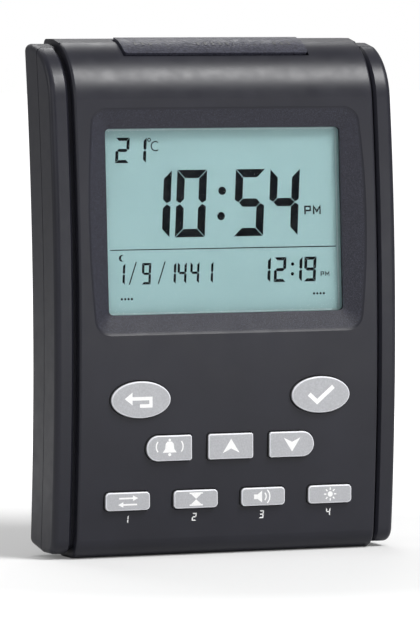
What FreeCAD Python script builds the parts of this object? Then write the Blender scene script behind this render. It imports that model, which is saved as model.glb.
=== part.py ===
import FreeCAD, Part
import math
import os
import Sketcher
from FreeCAD import Placement, Rotation, Vector

# Upright desk clock: a bowed slab case with a raised middle panel, a display in a sloped recess,
# nine keys, a press bar over the top edge, and a battery hump at the back that it stands on.
# Frame: +Z up, front faces -Y, origin under the middle of the bounding box. Millimetres.

doc = FreeCAD.newDocument("desk_clock")
sheet = doc.addObject("Spreadsheet::Sheet", "Sizes")

DIMENSIONS = [
    ("panel_margin", 2.8),
    ("shoulder_width", 5.9),
    ("key_to_recess", 11.45),
    ("head_height", 17.0),
    ("panel_proud", 1.25),
    ("panel_thick", 2.7),
    ("groove_width", 1.0),
    ("panel_end_gap", 0.2),
    ("bow_radius", 520.0),
    ("bow_apex_height", 53.5),
    ("top_round", 17.0),
    ("crease_angle", 20.0),
    ("top_strip_depth", 4.5),
    ("top_strip_rise", 0.95),
    ("strip_end_gap", 0.5),
    ("least_radius", 0.3),
    ("panel_top_depth", 25.9),
    ("panel_base_depth", 15.5),
    ("base_round", 5.2),
    ("panel_back_round", 1.9),
    ("panel_edge_round", 0.6),
    ("shoulder_round", 1.5),
    ("shoulder_slope", 0.7),
    ("case_wall", 1.6),
    ("side_wall", 2.0),
    ("rear_wall", 1.8),
    ("seam_depth", 9.65),
    ("seam_gap", 0.25),
    ("waist_depth", 19.1),
    ("waist_height", 50.0),
    ("back_bow_radius", 540.0),
    ("foot_flat_depth", 12.6),
    ("foot_back_height", 2.9),
    ("window_width", 64.0),
    ("window_height", 46.8),
    ("window_depth", 3.7),
    ("window_lip", 1.0),
    ("window_corner", 1.2),
    ("recess_side_slope", 5.85),
    ("recess_end_slope", 5.2),
    ("recess_corner", 6.0),
    ("tray_margin", 1.9),
    ("lens_margin", 1.3),
    ("lens_corner_growth", 1.0),
    ("lens_thick", 1.2),
    ("fit_gap", 0.1),
    ("glass_thick", 2.2),
    ("glass_margin", 1.0),
    ("holder_wall", 1.8),
    ("holder_depth", 4.0),
    ("guide_thick", 1.6),
    ("strip_height", 1.6),
    ("strip_inset", 3.0),
    ("led_offset", 11.0),
    ("led_length", 3.0),
    ("led_thick", 0.8),
    ("board_thick", 1.4),
    ("board_margin", 1.15),
    ("board_end_margin", 1.4),
    ("board_hole_inset", 1.9),
    ("board_hole_play", 0.15),
    ("key_hole_inset", 1.5),
    ("key_hole_rise", 3.4),
    ("key_hole_drop", 2.4),
    ("board_post_root", 1.0),
    ("post_root", 0.8),
    ("hole_floor", 0.4),
    ("tray_root", 1.2),
    ("boss_radius", 2.0),
    ("board_screw_radius", 0.9),
    ("board_screw_head", 1.8),
    ("key_proud", 1.0),
    ("key_travel", 0.8),
    ("key_gap", 0.3),
    ("key_flange", 0.8),
    ("key_edge_round", 0.45),
    ("oval_width", 16.0),
    ("oval_height", 9.3),
    ("oval_offset", 24.5),
    ("oval_row", 40.1),
    ("middle_width", 12.3),
    ("middle_height", 6.5),
    ("middle_pitch", 16.7),
    ("middle_row", 27.65),
    ("small_width", 12.0),
    ("small_height", 4.65),
    ("small_pitch", 18.4),
    ("small_row", 14.5),
    ("small_corner", 1.1),
    ("middle_corner", 0.66),
    ("mat_thick", 0.8),
    ("chip_right", 26.0),
    ("chip_up", 12.0),
    ("chip_radius", 5.0),
    ("chip_top_radius", 3.2),
    ("chip_tall", 1.4),
    ("chip_rim_width", 0.4),
    ("chip_rim_tall", 0.3),
    ("lead_gap", 0.05),
    ("crystal_right", 18.0),
    ("crystal_radius", 1.0),
    ("crystal_length", 6.0),
    ("capacitor_left", 30.0),
    ("capacitor_up", 20.0),
    ("capacitor_pitch", 7.0),
    ("capacitor_radius", 2.0),
    ("capacitor_length", 7.0),
    ("thermistor_right", 33.0),
    ("thermistor_down", 20.0),
    ("thermistor_length", 2.0),
    ("thermistor_thick", 1.2),
    ("link_width", 16.0),
    ("link_thick", 0.5),
    ("link_end", 3.0),
    ("link_bend", 7.0),
    ("link_play", 0.2),
    ("tray_play", 0.4),
    ("tray_well_depth", 9.0),
    ("key_well_side", 0.8),
    ("key_well_depth", 7.0),
    ("key_well_low", 0.5),
    ("key_well_high", 0.6),
    ("mat_side_margin", 4.2),
    ("mat_low_margin", 1.5),
    ("mat_high_margin", 1.0),
    ("dome_base", 2.2),
    ("dome_tip", 1.5),
    ("dome_root", 0.2),
    ("key_board_margin", 3.9),
    ("key_board_low_margin", 4.2),
    ("key_board_high_margin", 2.25),
    ("bar_width", 50.0),
    ("bar_front_angle", 40.8),
    ("bar_proud", 0.7),
    ("bar_thick", 2.2),
    ("bar_back_depth", 17.4),
    ("bar_travel", 0.8),
    ("bar_gap", 0.35),
    ("bar_corner", 1.0),
    ("bar_back_play", 0.25),
    ("bar_reach", 8.0),
    ("bar_slot_reach", 6.0),
    ("bar_well_reach", 12.0),
    ("bar_leg_root", 2.4),
    ("bar_leg_inset", 5.0),
    ("bar_leg_front", 13.2),
    ("bar_leg_back", 15.8),
    ("plunger_width", 4.0),
    ("plunger_depth", 2.4),
    ("switch_drop", 4.0),
    ("switch_setback", 2.6),
    ("switch_rise", 3.6),
    ("switch_length", 6.0),
    ("switch_width", 4.0),
    ("switch_tall", 4.2),
    ("stem_radius", 1.0),
    ("stem_length", 1.2),
    ("stem_root", 0.4),
    ("bar_leg_length", 10.9),
    ("bar_leg_width", 3.0),
    ("hump_width", 68.0),
    ("bay_front_depth", 13.0),
    ("hump_top", 41.0),
    ("hump_round", 3.0),
    ("hump_root", 0.4),
    ("hump_bevel", 1.5),
    ("hump_shoulder", 9.0),
    ("bay_shell_gap", 2.0),
    ("ring_wall", 1.2),
    ("ring_root", 0.6),
    ("ring_lip", 1.5),
    ("cell_length", 50.5),
    ("cell_diameter", 14.2),
    ("cell_gap", 0.4),
    ("nub_length", 1.5),
    ("nub_radius", 2.7),
    ("contact_thick", 0.5),
    ("contact_width", 10.0),
    ("contact_tall", 11.0),
    ("spring_base", 4.2),
    ("spring_tip", 2.6),
    ("spring_wall", 0.6),
    ("bay_bottom", 6.3),
    ("bay_half_length", 28.6),
    ("bay_wall", 1.5),
    ("door_thick", 1.5),
    ("door_overlap", 2.6),
    ("door_end_overlap", 1.6),
    ("grip_drop", 3.0),
    ("grip_pitch", 1.3),
    ("grip_width", 12.0),
    ("grip_depth", 0.45),
    ("grip_line", 0.6),
    ("notch_width", 8.0),
    ("notch_tall", 0.9),
    ("door_gap", 0.3),
    ("door_pin_radius", 0.55),
    ("door_pin_length", 1.2),
    ("pin_play", 0.05),
    ("pad_radius", 4.0),
    ("pad_thick", 0.8),
    ("pad_offset", 26.0),
    ("pad_depth", 23.0),
    ("speaker_drop", 17.8),
    ("speaker_radius", 14.0),
    ("speaker_rim", 1.5),
    ("magnet_radius", 7.0),
    ("grille_hole", 0.9),
    ("grille_pitch", 3.2),
    ("grille_radius", 10.24),
    ("speaker_wall_gap", 0.25),
    ("frame_wall", 1.4),
    ("frame_back", 0.5),
    ("cone_play", 0.2),
    ("cone_inner_radius", 8.0),
    ("cone_tall", 0.6),
    ("magnet_tall", 1.8),
    ("case_screw_inset", 5.95),
    ("case_screw_drop", 10.9),
    ("case_screw_bottom", 10.5),
    ("case_screw_radius", 1.3),
    ("case_screw_head", 2.6),
    ("case_screw_length", 7.4),
    ("case_screw_head_tall", 1.7),
    ("screw_hole_play", 0.2),
    ("screw_head_play", 0.3),
    ("screw_hole_end", 1.8),
    ("screw_pad_recess", 0.9),
    ("top_post_shift", 1.2),
    ("screw_seat", 2.4),
    ("screw_shelf", 1.6),
    ("cross_width", 0.6),
    ("key_screw_length", 3.6),
    ("board_screw_length", 4.6),
    ("board_screw_head_tall", 1.0),
    ("screw_post_radius", 3.0),
    ("screw_pad_radius", 3.4),
]
for row, (alias, number) in enumerate(DIMENSIONS, start=1):
    sheet.set("A%d" % row, alias)
    sheet.set("B%d" % row, str(number))
    sheet.setAlias("B%d" % row, alias)
doc.recompute()


def cell(alias):
    """A driving dimension, read from the sheet."""
    return float(sheet.get(alias))


# Sizes that follow from the sheet: the panel is built up round the window and the keys

FORMULAS = {
    "recess_width": "Sizes.window_width + 2 * Sizes.recess_side_slope",
    "recess_height": "Sizes.window_height + 2 * Sizes.recess_end_slope",
}
FORMULAS["panel_width"] = FORMULAS["recess_width"] + " + 2 * Sizes.panel_margin"
FORMULAS["body_width"] = FORMULAS["panel_width"] + " + 2 * Sizes.shoulder_width"
FORMULAS["main_board_width"] = FORMULAS["recess_width"] + " + 2 * Sizes.board_margin"
FORMULAS["main_board_height"] = FORMULAS["recess_height"] + " + 2 * Sizes.board_end_margin"
FORMULAS["key_board_width"] = ("3 * Sizes.small_pitch + Sizes.small_width"
                               " + 2 * Sizes.key_board_margin")
FORMULAS["key_board_bottom"] = ("Sizes.small_row - Sizes.small_height / 2"
                                " - Sizes.key_board_low_margin")
FORMULAS["key_board_top"] = ("Sizes.oval_row + Sizes.oval_height / 2"
                             " + Sizes.key_board_high_margin")
FORMULAS["window_centre_height"] = ("Sizes.oval_row + Sizes.oval_height / 2 + Sizes.key_to_recess"
                                    " + Sizes.window_height / 2 + Sizes.recess_end_slope")
FORMULAS["panel_height"] = (FORMULAS["window_centre_height"] + " + Sizes.window_height / 2"
                            " + Sizes.recess_end_slope + Sizes.head_height")
FORMULAS["hump_depth"] = ("Sizes.bay_front_depth + Sizes.cell_diameter + 2 * Sizes.cell_gap"
                          " + Sizes.door_thick")
FORMULAS["case_screw_offset"] = "(" + FORMULAS["body_width"] + ") / 2 - Sizes.case_screw_inset"
FORMULAS["case_screw_top"] = FORMULAS["panel_height"] + " - Sizes.case_screw_drop"
FORMULAS["speaker_height"] = FORMULAS["window_centre_height"] + " - Sizes.speaker_drop"


def bind(feature, field, formula):
    """Ties one property of an object to the sheet."""
    feature.setExpression(field, formula)


derived = doc.addObject("App::FeaturePython", "Derived")
for alias, formula in FORMULAS.items():
    derived.addProperty("App::PropertyFloat", alias)
    bind(derived, alias, formula)
doc.recompute()


def size(alias):
    """A driving dimension of the sheet, or one that follows from it."""
    if alias in FORMULAS:
        return float(getattr(derived, alias))
    return cell(alias)


# The case outline, as depth behind the front's foremost line and height above the table

bow = size("bow_radius")
apex = size("bow_apex_height")


def surface_depth(height, inset=0.0):
    """Depth of the bowed front, moved in by inset, at one height."""
    return bow - math.sqrt((bow - inset) ** 2 - (height - apex) ** 2)


def back_depth(height):
    """Depth of the hollow back at one height."""
    return size("waist_depth") + (height - size("waist_height")) ** 2 / (2 * size("back_bow_radius"))


key_front = surface_depth(size("oval_row")) - size("key_proud")
front_y = -(size("hump_depth") + key_front) / 2


def at(depth, height, x=0.0):
    return Vector(x, front_y + depth, height)


def toward(centre, radius, angle_from_up):
    """Point on a circle, its angle counted from straight up towards the front."""
    angle = math.radians(angle_from_up)
    return (centre[0] - radius * math.sin(angle), centre[1] + radius * math.cos(angle))


crease = size("crease_angle")
top_centre_height = (size("panel_height") - size("top_strip_rise")
                     - size("top_round") * math.cos(math.radians(crease)))
top_centre = (
    bow - math.sqrt((bow - size("top_round")) ** 2 - (top_centre_height - apex) ** 2),
    top_centre_height,
)
base_centre = (
    bow - math.sqrt((bow - size("base_round")) ** 2 - (apex - size("base_round")) ** 2),
    size("base_round"),
)
top_tangent = 90 - math.degrees(math.asin((top_centre[1] - apex) / (bow - size("top_round"))))
base_tangent = 90 + math.degrees(math.asin((apex - base_centre[1]) / (bow - size("base_round"))))


def outline_edges(inset, base_end, top_end):
    """Base, front, top arc and top strip of the slab, moved in by inset, from base_end to top_end."""
    low = base_centre
    low_r = size("base_round") - inset
    least = size("least_radius")
    if low_r < least:
        low = (base_centre[0] + least - low_r, base_centre[1] + least - low_r)
        low_r = least
        base_touch = (surface_depth(low[1], inset), low[1])
        low = (base_touch[0] + low_r, low[1])
    else:
        base_touch = toward(low, low_r, base_tangent)
    top_r = size("top_round") - inset
    top_touch = toward(top_centre, top_r, top_tangent)
    crease_point = toward(top_centre, top_r, crease)
    strip_end = (min(crease_point[0] + size("top_strip_depth"), top_end - size("strip_end_gap")),
                 size("panel_height") - inset)
    front_middle = (surface_depth(apex, inset), apex)
    edges = [
        Part.LineSegment(at(base_end, low[1] - low_r), at(low[0], low[1] - low_r)),
        Part.Arc(at(low[0], low[1] - low_r), at(*toward(low, low_r, 135)), at(*base_touch)),
        Part.Arc(at(*base_touch), at(*front_middle), at(*top_touch)),
        Part.Arc(at(*top_touch), at(*toward(top_centre, top_r, (top_tangent + crease) / 2)),
                 at(*crease_point)),
        Part.LineSegment(at(*crease_point), at(*strip_end)),
        Part.LineSegment(at(*strip_end), at(top_end, strip_end[1])),
    ]
    return [edge.toShape() for edge in edges]


def ends(edges):
    first = edges[0].Vertexes[0].Point
    last = edges[-1].Vertexes[-1].Point
    return first, last


def closed(outer, inner):
    """Edges of a band between two outlines, with its two ends closed."""
    caps = [Part.LineSegment(first, second).toShape()
            for first, second in zip(ends(outer), ends(inner))]
    return outer + inner + caps


def extrude(edges, width, x=0.0):
    """Solid of a closed profile, width across and centred on x."""
    wire = Part.Wire(Part.__sortEdges__(edges))
    face = Part.Face(wire)
    solid = face.extrude(Vector(width, 0, 0))
    solid.translate(Vector(x - width / 2, 0, 0))
    return solid


def box(x0, x1, depth0, depth1, z0, z1):
    """Block between two corners, the second pair counted as depths."""
    return Part.makeBox(x1 - x0, depth1 - depth0, z1 - z0, at(depth0, z0, x0))


def rod(radius, length, centre, direction=Vector(0, 1, 0)):
    return Part.makeCylinder(radius, length, centre, direction)


def piece(name, shape):
    """A sub-part whose shape is worked out here from the sheet."""
    feature = doc.addObject("Part::Feature", name)
    feature.Label = name
    feature.Shape = shape.removeSplitter()
    return feature


SUB_PARTS = []


def keep(feature):
    SUB_PARTS.append(feature)
    return feature


# Tilted frame of the display, whose origin lies on the panel in front of the window's middle

lean = math.degrees(math.asin((size("window_centre_height") - apex) / bow))
display_frame = Placement(
    at(surface_depth(size("window_centre_height")), size("window_centre_height")),
    Rotation(Vector(1, 0, 0), -lean),
)


def rounded_wire(width, height, radius, depth):
    """Rounded rectangle across the display frame, at one depth."""
    a = width / 2
    b = height / 2
    k = radius * (1 - math.sqrt(0.5))
    edges = []
    for sx, sz in ((1, 1), (-1, 1), (-1, -1), (1, -1)):
        on_side = Vector(sx * a, depth, sz * (b - radius))
        on_end = Vector(sx * (a - radius), depth, sz * b)
        middle = Vector(sx * (a - k), depth, sz * (b - k))
        edges.append(Part.Arc(on_side, middle, on_end).toShape())
    for sign in (1, -1):
        edges.append(Part.LineSegment(Vector(-a + radius, depth, sign * b),
                                      Vector(a - radius, depth, sign * b)).toShape())
        edges.append(Part.LineSegment(Vector(sign * a, depth, -b + radius),
                                      Vector(sign * a, depth, b - radius)).toShape())
    return Part.Wire(Part.__sortEdges__(edges))


def display_block(width, height, radius, depth0, depth1):
    """Rounded block square to the display, between two depths behind the panel."""
    face = Part.Face(rounded_wire(width, height, radius, depth0))
    solid = face.extrude(Vector(0, depth1 - depth0, 0))
    solid.Placement = display_frame
    return solid


def recess_cut():
    """Sloped hole from well outside the panel down to the lip round the window."""
    slope_depth = size("window_depth") - size("window_lip")
    drop = (size("recess_height") / 2) ** 2 / (2 * bow)
    run_x = (size("recess_width") - size("window_width")) / 2 / slope_depth
    run_z = (size("recess_height") - size("window_height")) / 2 / (slope_depth - drop)
    above = 2.0
    reach = slope_depth + above
    outer = rounded_wire(size("window_width") + 2 * run_x * reach,
                         size("window_height") + 2 * run_z * reach,
                         size("recess_corner") + above, -above)
    inner = rounded_wire(size("window_width"), size("window_height"),
                         size("window_corner"), slope_depth)
    solid = Part.makeLoft([outer, inner], True, True)
    solid.Placement = display_frame
    return solid


# The least straight stretch that a round end keeps, and how far a cut runs past a face

HAIR = 0.01
OVER = 1.0

# Where the keys stand

def key_list():
    """Name, x, height, width, tall, left corner and right corner of each rectangular key."""
    half_tall = size("middle_height") / 2 - HAIR
    corner = size("small_corner")
    inner = size("middle_corner")
    rows = []
    for index, name in enumerate(("alarm_key", "up_key", "down_key")):
        left = half_tall if index == 0 else inner
        right = half_tall if index == 2 else inner
        rows.append((name, (index - 1) * size("middle_pitch"), size("middle_row"),
                     "middle_width", "middle_height", left, right))
    for index, name in enumerate(("convert_key", "delay_key", "sound_key", "call_key")):
        rows.append((name, (index - 1.5) * size("small_pitch"), size("small_row"),
                     "small_width", "small_height", corner, corner))
    return rows


def key_outline(width, tall, left, right, grow, x, height, depth):
    """Closed outline of a rectangular key, grown all round."""
    a = width / 2 + grow
    b = tall / 2 + grow
    corners = []
    for sx, sz, radius in ((1, 1, right), (-1, 1, left), (-1, -1, left), (1, -1, right)):
        corners.append((sx, sz, min(radius + grow, b - HAIR)))
    edges = []
    for sx, sz, radius in corners:
        k = radius * (1 - math.sqrt(0.5))
        edges.append(Part.Arc(at(depth, height + sz * (b - radius), x + sx * a),
                              at(depth, height + sz * (b - k), x + sx * (a - k)),
                              at(depth, height + sz * b, x + sx * (a - radius))).toShape())
    right_r = corners[0][2]
    left_r = corners[1][2]
    for sz in (1, -1):
        edges.append(Part.LineSegment(at(depth, height + sz * b, x - a + left_r),
                                      at(depth, height + sz * b, x + a - right_r)).toShape())
    for sx, radius in ((1, right_r), (-1, left_r)):
        edges.append(Part.LineSegment(at(depth, height - b + radius, x + sx * a),
                                      at(depth, height + b - radius, x + sx * a)).toShape())
    return Part.Wire(Part.__sortEdges__(edges))


def oval_outline(grow, x, height, depth):
    major = size("oval_width") / 2 + grow
    minor = size("oval_height") / 2 + grow
    curve = Part.Ellipse(at(depth, height, x + major), at(depth, height + minor, x),
                         at(depth, height, x))
    return Part.Wire([curve.toShape()])


lowest_key_edge = size("small_row") - size("small_height") / 2
flange_front = surface_depth(lowest_key_edge - size("key_flange"), size("panel_thick")) + size("key_gap")
flange_back = flange_front + size("key_flange")
mat_front = flange_back + size("key_travel") + 2 * size("fit_gap")
key_board_front = mat_front + size("mat_thick")


def all_keys():
    """Each key as name, x, height and a function that gives its outline grown by some amount."""
    found = []
    for sign, name in ((-1, "exit_key"), (1, "set_key")):
        x = sign * size("oval_offset")
        height = size("oval_row")
        found.append((name, x, height,
                      lambda grow, depth, x=x, height=height: oval_outline(grow, x, height, depth)))
    for name, x, height, width, tall, left, right in key_list():
        found.append((name, x, height,
                      lambda grow, depth, x=x, height=height, width=width, tall=tall,
                      left=left, right=right: key_outline(size(width), size(tall), left, right,
                                                          grow, x, height, depth)))
    return found


def prism(wire, length):
    return Part.Face(wire).extrude(Vector(0, length, 0))


# Screw bosses behind the panel and the boards that they carry

board_back = size("window_depth") + size("lens_thick") + size("fit_gap") + size("holder_depth") \
    + size("fit_gap") + size("board_thick")
board_front = board_back - size("board_thick")
tray_back = size("window_depth") + size("lens_thick") + size("fit_gap") / 2


def board_hole_places():
    """Screw places of the main board, across the display frame."""
    x = size("main_board_width") / 2 - size("board_hole_inset")
    z = size("main_board_height") / 2 - size("board_hole_inset")
    return [(sx * x, sz * z) for sx in (1, -1) for sz in (1, -1)]


def key_hole_places():
    """Screw places of the key board, as x and height."""
    x = size("key_board_width") / 2 - size("key_hole_inset")
    low = size("small_row") + size("small_height") / 2 + size("key_hole_rise")
    high = size("key_board_top") - size("key_hole_drop")
    return [(sx * x, z) for sx in (1, -1) for z in (low, high)]


def tilted_rod(radius, x, z, depth0, depth1):
    solid = Part.makeCylinder(radius, depth1 - depth0, Vector(x, depth0, z), Vector(0, 1, 0))
    solid.Placement = display_frame
    return solid


def make_front_panel():
    thick = size("panel_thick")
    base_end = size("panel_base_depth")
    top_end = size("panel_top_depth")
    outer = outline_edges(0.0, base_end, top_end)
    inner = outline_edges(thick, base_end, top_end)
    side = size("panel_width") / 2
    split = len(outer) - 2
    front = extrude(closed(outer[:split], inner[:split]), size("panel_width"))
    rear = [edge for edge in front.Edges
            if abs(edge.BoundBox.XLength - size("panel_width")) < HAIR
            and edge.CenterOfMass.z < HAIR and edge.CenterOfMass.y > front_y + base_end - HAIR]
    front = front.makeFillet(size("panel_back_round"), rear)
    rims = []
    for edge in front.Edges:
        flat = edge.BoundBox.XLength < 0.001 and abs(abs(edge.CenterOfMass.x) - side) < 0.001
        point = edge.valueAt((edge.FirstParameter + edge.LastParameter) / 2)
        if flat and on_front(point, 0.0):
            rims.append(edge)
    front = front.makeFillet(size("panel_edge_round"), rims)
    strip = extrude(closed(outer[split:], inner[split:]), size("panel_width"))
    rear = [edge for edge in strip.Edges
            if abs(edge.BoundBox.XLength - size("panel_width")) < HAIR
            and abs(edge.CenterOfMass.z - size("panel_height")) < HAIR
            and edge.CenterOfMass.y > front_y + top_end - HAIR]
    strip = strip.makeFillet(size("panel_back_round"), rear)
    panel = front.fuse(strip)
    margin = 2 * size("tray_margin")
    tray = display_block(size("recess_width") + margin, size("recess_height") + margin,
                         size("recess_corner"), thick - size("tray_root"), tray_back)
    panel = panel.fuse(tray)
    posts = [tilted_rod(size("boss_radius"), x, z, tray_back - size("board_post_root"),
                        board_front)
             for x, z in board_hole_places()]
    for x, height in key_hole_places():
        start = surface_depth(height, thick) - size("post_root")
        posts.append(rod(size("boss_radius"), key_board_front - start, at(start, height, x)))
    panel = panel.fuse(posts)
    cuts = [recess_cut()]
    cuts.append(display_block(size("window_width"), size("window_height"), size("window_corner"),
                              size("window_depth") - size("window_lip") - OVER,
                              tray_back + OVER))
    lens = 2 * (size("lens_margin") + size("fit_gap"))
    cuts.append(display_block(size("window_width") + lens, size("window_height") + lens,
                              size("window_corner") + size("lens_corner_growth"), size("window_depth"),
                              tray_back + OVER))
    ahead = 3.0
    for name, x, height, outline in all_keys():
        cuts.append(prism(outline(size("key_gap"), -ahead), ahead + flange_front - size("fit_gap")))
    cuts.append(bar_block(size("bar_gap"), size("bar_slot_reach")))
    screw = size("board_screw_radius") + size("pin_play")
    for x, z in board_hole_places():
        cuts.append(tilted_rod(screw, x, z, tray_back + size("hole_floor"), board_front + OVER))
    for x, height in key_hole_places():
        start = surface_depth(height, thick) + size("hole_floor")
        cuts.append(rod(screw, key_board_front + OVER - start, at(start, height, x)))
    return panel.cut(cuts)


def on_front(point, inset):
    """Whether a point lies on the bow, the top arc or the base arc, moved in by inset."""
    depth = point.y - front_y
    arcs = (
        (bow, apex, bow, True),
        (top_centre[0], top_centre[1], size("top_round"), point.z > top_centre[1]),
        (base_centre[0], base_centre[1], size("base_round"), point.z < base_centre[1]),
    )
    for middle_depth, middle_height, radius, near in arcs:
        reach = math.hypot(depth - middle_depth, point.z - middle_height)
        if near and abs(reach - radius + inset) < 0.02 and depth < middle_depth:
            return True
    return False


# Press bar over the top front edge

bar_front = size("bar_front_angle")


def bar_block(grow, reach):
    """Block over the bar, from well outside to reach inside the arc, grown for its slot."""
    outside = 6.0
    above = 4.0
    near = toward(top_centre, size("top_round") + outside, bar_front)
    far = toward(top_centre, size("top_round") - reach, bar_front)
    tilt = math.radians(bar_front)
    shift = (-grow * math.cos(tilt), -grow * math.sin(tilt))
    back = size("bar_back_depth") + (grow + size("bar_back_play") if grow else 0)
    corners = [
        (near[0] + shift[0], near[1] + shift[1]),
        (back, near[1] + above),
        (back, far[1] + shift[1]),
        (far[0] + shift[0], far[1] + shift[1]),
    ]
    points = [at(*corner) for corner in corners]
    edges = []
    for index, point in enumerate(points):
        edges.append(Part.LineSegment(point, points[(index + 1) % len(points)]).toShape())
    return extrude(edges, size("bar_width") + 2 * grow)


def make_snooze_bar():
    base_end = size("panel_base_depth")
    top_end = size("panel_top_depth")
    outer = outline_edges(-size("bar_proud"), base_end, top_end)
    inner = outline_edges(size("bar_thick") - size("bar_proud"), base_end, top_end)
    caps = []
    for first, second in zip(ends(outer), ends(inner)):
        caps.append(Part.LineSegment(first, second).toShape())
    bar = extrude(outer + inner + caps, size("bar_width"))
    bar = bar.common(bar_block(0.0, size("bar_reach")))
    near_front = 2.0
    longest = size("bar_thick") * 1.4
    front = (front_y + top_centre[0] + near_front
             - size("top_round") * math.sin(math.radians(bar_front)))
    corners = [edge for edge in bar.Edges
               if edge.BoundBox.XLength < 0.01 and edge.CenterOfMass.y < front
               and edge.Length < longest]
    bar = bar.makeFillet(size("bar_corner"), corners)
    legs = []
    leg_top = size("panel_height") - size("bar_leg_root")
    half = size("bar_leg_width") / 2
    for sign in (1, -1):
        x = sign * (size("bar_width") / 2 - size("bar_leg_inset"))
        legs.append(box(x - half, x + half, size("bar_leg_front"), size("bar_leg_back"),
                        size("panel_height") - size("bar_leg_length"), leg_top))
    across = size("plunger_width") / 2
    through = size("plunger_depth") / 2
    legs.append(box(-across, across, switch_depth - through, switch_depth + through,
                    switch_top + size("bar_travel") + 2 * size("fit_gap"), leg_top))
    return bar.fuse(legs)


# Small side push switch on the back of the main board, under the bar

switch_height = size("window_centre_height") + size("main_board_height") / 2 - size("switch_drop")
board_slope = math.tan(math.radians(lean))
switch_depth = (display_frame.Base.y - front_y + board_back
                + (switch_height - size("window_centre_height")) * board_slope
                + size("switch_setback"))
switch_top = switch_height + size("switch_rise")


def make_body():
    """Closed outside of the case, before it is hollowed and parted."""
    proud = size("panel_proud")
    top = size("panel_height") - proud
    top_end = back_depth(top)
    edges = outline_edges(proud, size("foot_flat_depth"), top_end)
    first, last = ends(edges)
    foot = at(back_depth(size("foot_back_height")), size("foot_back_height"))
    waist = at(size("waist_depth"), size("waist_height"))
    edges.append(Part.Arc(last, waist, foot).toShape())
    edges.append(Part.LineSegment(foot, first).toShape())
    body = extrude(edges, size("body_width"))
    corners = []
    for edge in body.Edges:
        across = abs(edge.BoundBox.XLength - size("body_width")) < 0.01
        middle = edge.CenterOfMass
        if across and (middle - Vector(0, last.y, last.z)).Length < 0.01:
            corners.append(edge)
        if across and (middle - Vector(0, foot.y, foot.z)).Length < 0.01:
            corners.append(edge)
    body = body.makeFillet(size("panel_back_round"), corners)
    side = size("body_width") / 2
    rims = [edge for edge in body.Edges
            if edge.BoundBox.XLength < 0.001 and abs(abs(edge.CenterOfMass.x) - side) < 0.001]
    return body.makeFillet(size("shoulder_round"), rims)


def make_cavity():
    """Hollow inside the case."""
    inset = size("panel_thick") + size("case_wall")
    wall = size("rear_wall")
    top = size("panel_height") - inset
    edges = outline_edges(inset, size("foot_flat_depth"), back_depth(top) - wall)
    first, last = ends(edges)
    foot_height = size("foot_back_height") + inset - size("panel_proud")
    foot = at(back_depth(foot_height) - wall, foot_height)
    waist = at(size("waist_depth") - wall, size("waist_height"))
    edges.append(Part.Arc(last, waist, foot).toShape())
    edges.append(Part.LineSegment(foot, first).toShape())
    return extrude(edges, size("body_width") - 2 * size("side_wall"))


def make_channel():
    """Space that the panel and the groove beside it take out of the case."""
    width = size("panel_width") + 2 * size("groove_width")
    outside = 6.0
    beyond = 40.0
    base_end = size("panel_base_depth") + size("panel_end_gap")
    outer = outline_edges(-outside, beyond, beyond)
    inner = outline_edges(size("panel_thick"), base_end, beyond)
    first, last = ends(inner)
    far_first, far_last = ends(outer)
    under = at(base_end, far_first.z)
    edges = outer + inner
    edges.append(Part.LineSegment(last, far_last).toShape())
    edges[0] = Part.LineSegment(under, edges[0].Vertexes[-1].Point).toShape()
    edges.append(Part.LineSegment(first, under).toShape())
    return extrude(edges, width)


def seam_cylinder(gap):
    radius = bow - size("seam_depth") - gap
    width = size("body_width") + 2 * OVER
    return Part.makeCylinder(radius, width, at(bow, apex, -width / 2), Vector(1, 0, 0))


def case_screw_places():
    return [(sx * size("case_screw_offset"), z) for sx in (1, -1)
            for z in (size("case_screw_bottom"), size("case_screw_top"))]


body = make_body()
cavity = make_cavity()
channel = make_channel()
shell = body.cut([cavity, channel])


def slope_shoulders(part):
    """Chamfer on the shoulders' edges beside the groove."""
    channel_side = size("panel_width") / 2 + size("groove_width")
    edges = []
    for edge in part.Edges:
        flat = (edge.BoundBox.XLength < 0.001
                and abs(abs(edge.CenterOfMass.x) - channel_side) < 0.001)
        middle = edge.valueAt((edge.FirstParameter + edge.LastParameter) / 2)
        if flat and on_front(middle, size("panel_proud")):
            edges.append(edge)
    return part.makeChamfer(size("shoulder_slope"), edges)


def make_front_case():
    case = slope_shoulders(shell.cut(seam_cylinder(0.0)))
    inset = size("panel_thick") + size("case_wall")
    posts = []
    holes = []
    for x, height in case_screw_places():
        start = surface_depth(height, inset) - size("post_root")
        if height > top_centre[1]:
            start += size("top_post_shift")
        stop = back_depth(height) - size("screw_seat") - size("screw_shelf") - size("fit_gap")
        posts.append(rod(size("screw_post_radius"), stop - start, at(start, height, x)))
        holes.append(rod(size("case_screw_radius") + size("pin_play"), stop - start,
                         at(start + size("screw_hole_end"), height, x)))
    case = case.fuse(posts)
    margin = 2 * (size("tray_margin") + size("tray_play"))
    holes.append(display_block(size("recess_width") + margin, size("recess_height") + margin,
                               size("recess_corner"), -OVER, size("tray_well_depth")))
    half = size("key_board_width") / 2 + size("key_well_side")
    holes.append(box(-half, half, -OVER, size("key_well_depth"),
                     size("key_board_bottom") + size("key_well_low"),
                     size("key_board_top") + size("key_well_high")))
    holes.append(bar_block(size("bar_gap"), size("bar_well_reach")))
    return case.cut(holes)


# Battery bay, hump and door

bay_height = 2 * size("cell_diameter") + 3 * size("cell_gap")
bay_top = size("bay_bottom") + bay_height
bay_back = size("hump_depth") - size("door_thick")
bay_front = size("bay_front_depth")
door_low = size("bay_bottom") - size("door_end_overlap")
door_high = bay_top + size("door_end_overlap")
door_half = size("bay_half_length") + size("door_overlap")
door_axis = (size("hump_depth") - size("door_thick") / 2, door_low + size("door_thick") / 2)


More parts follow.
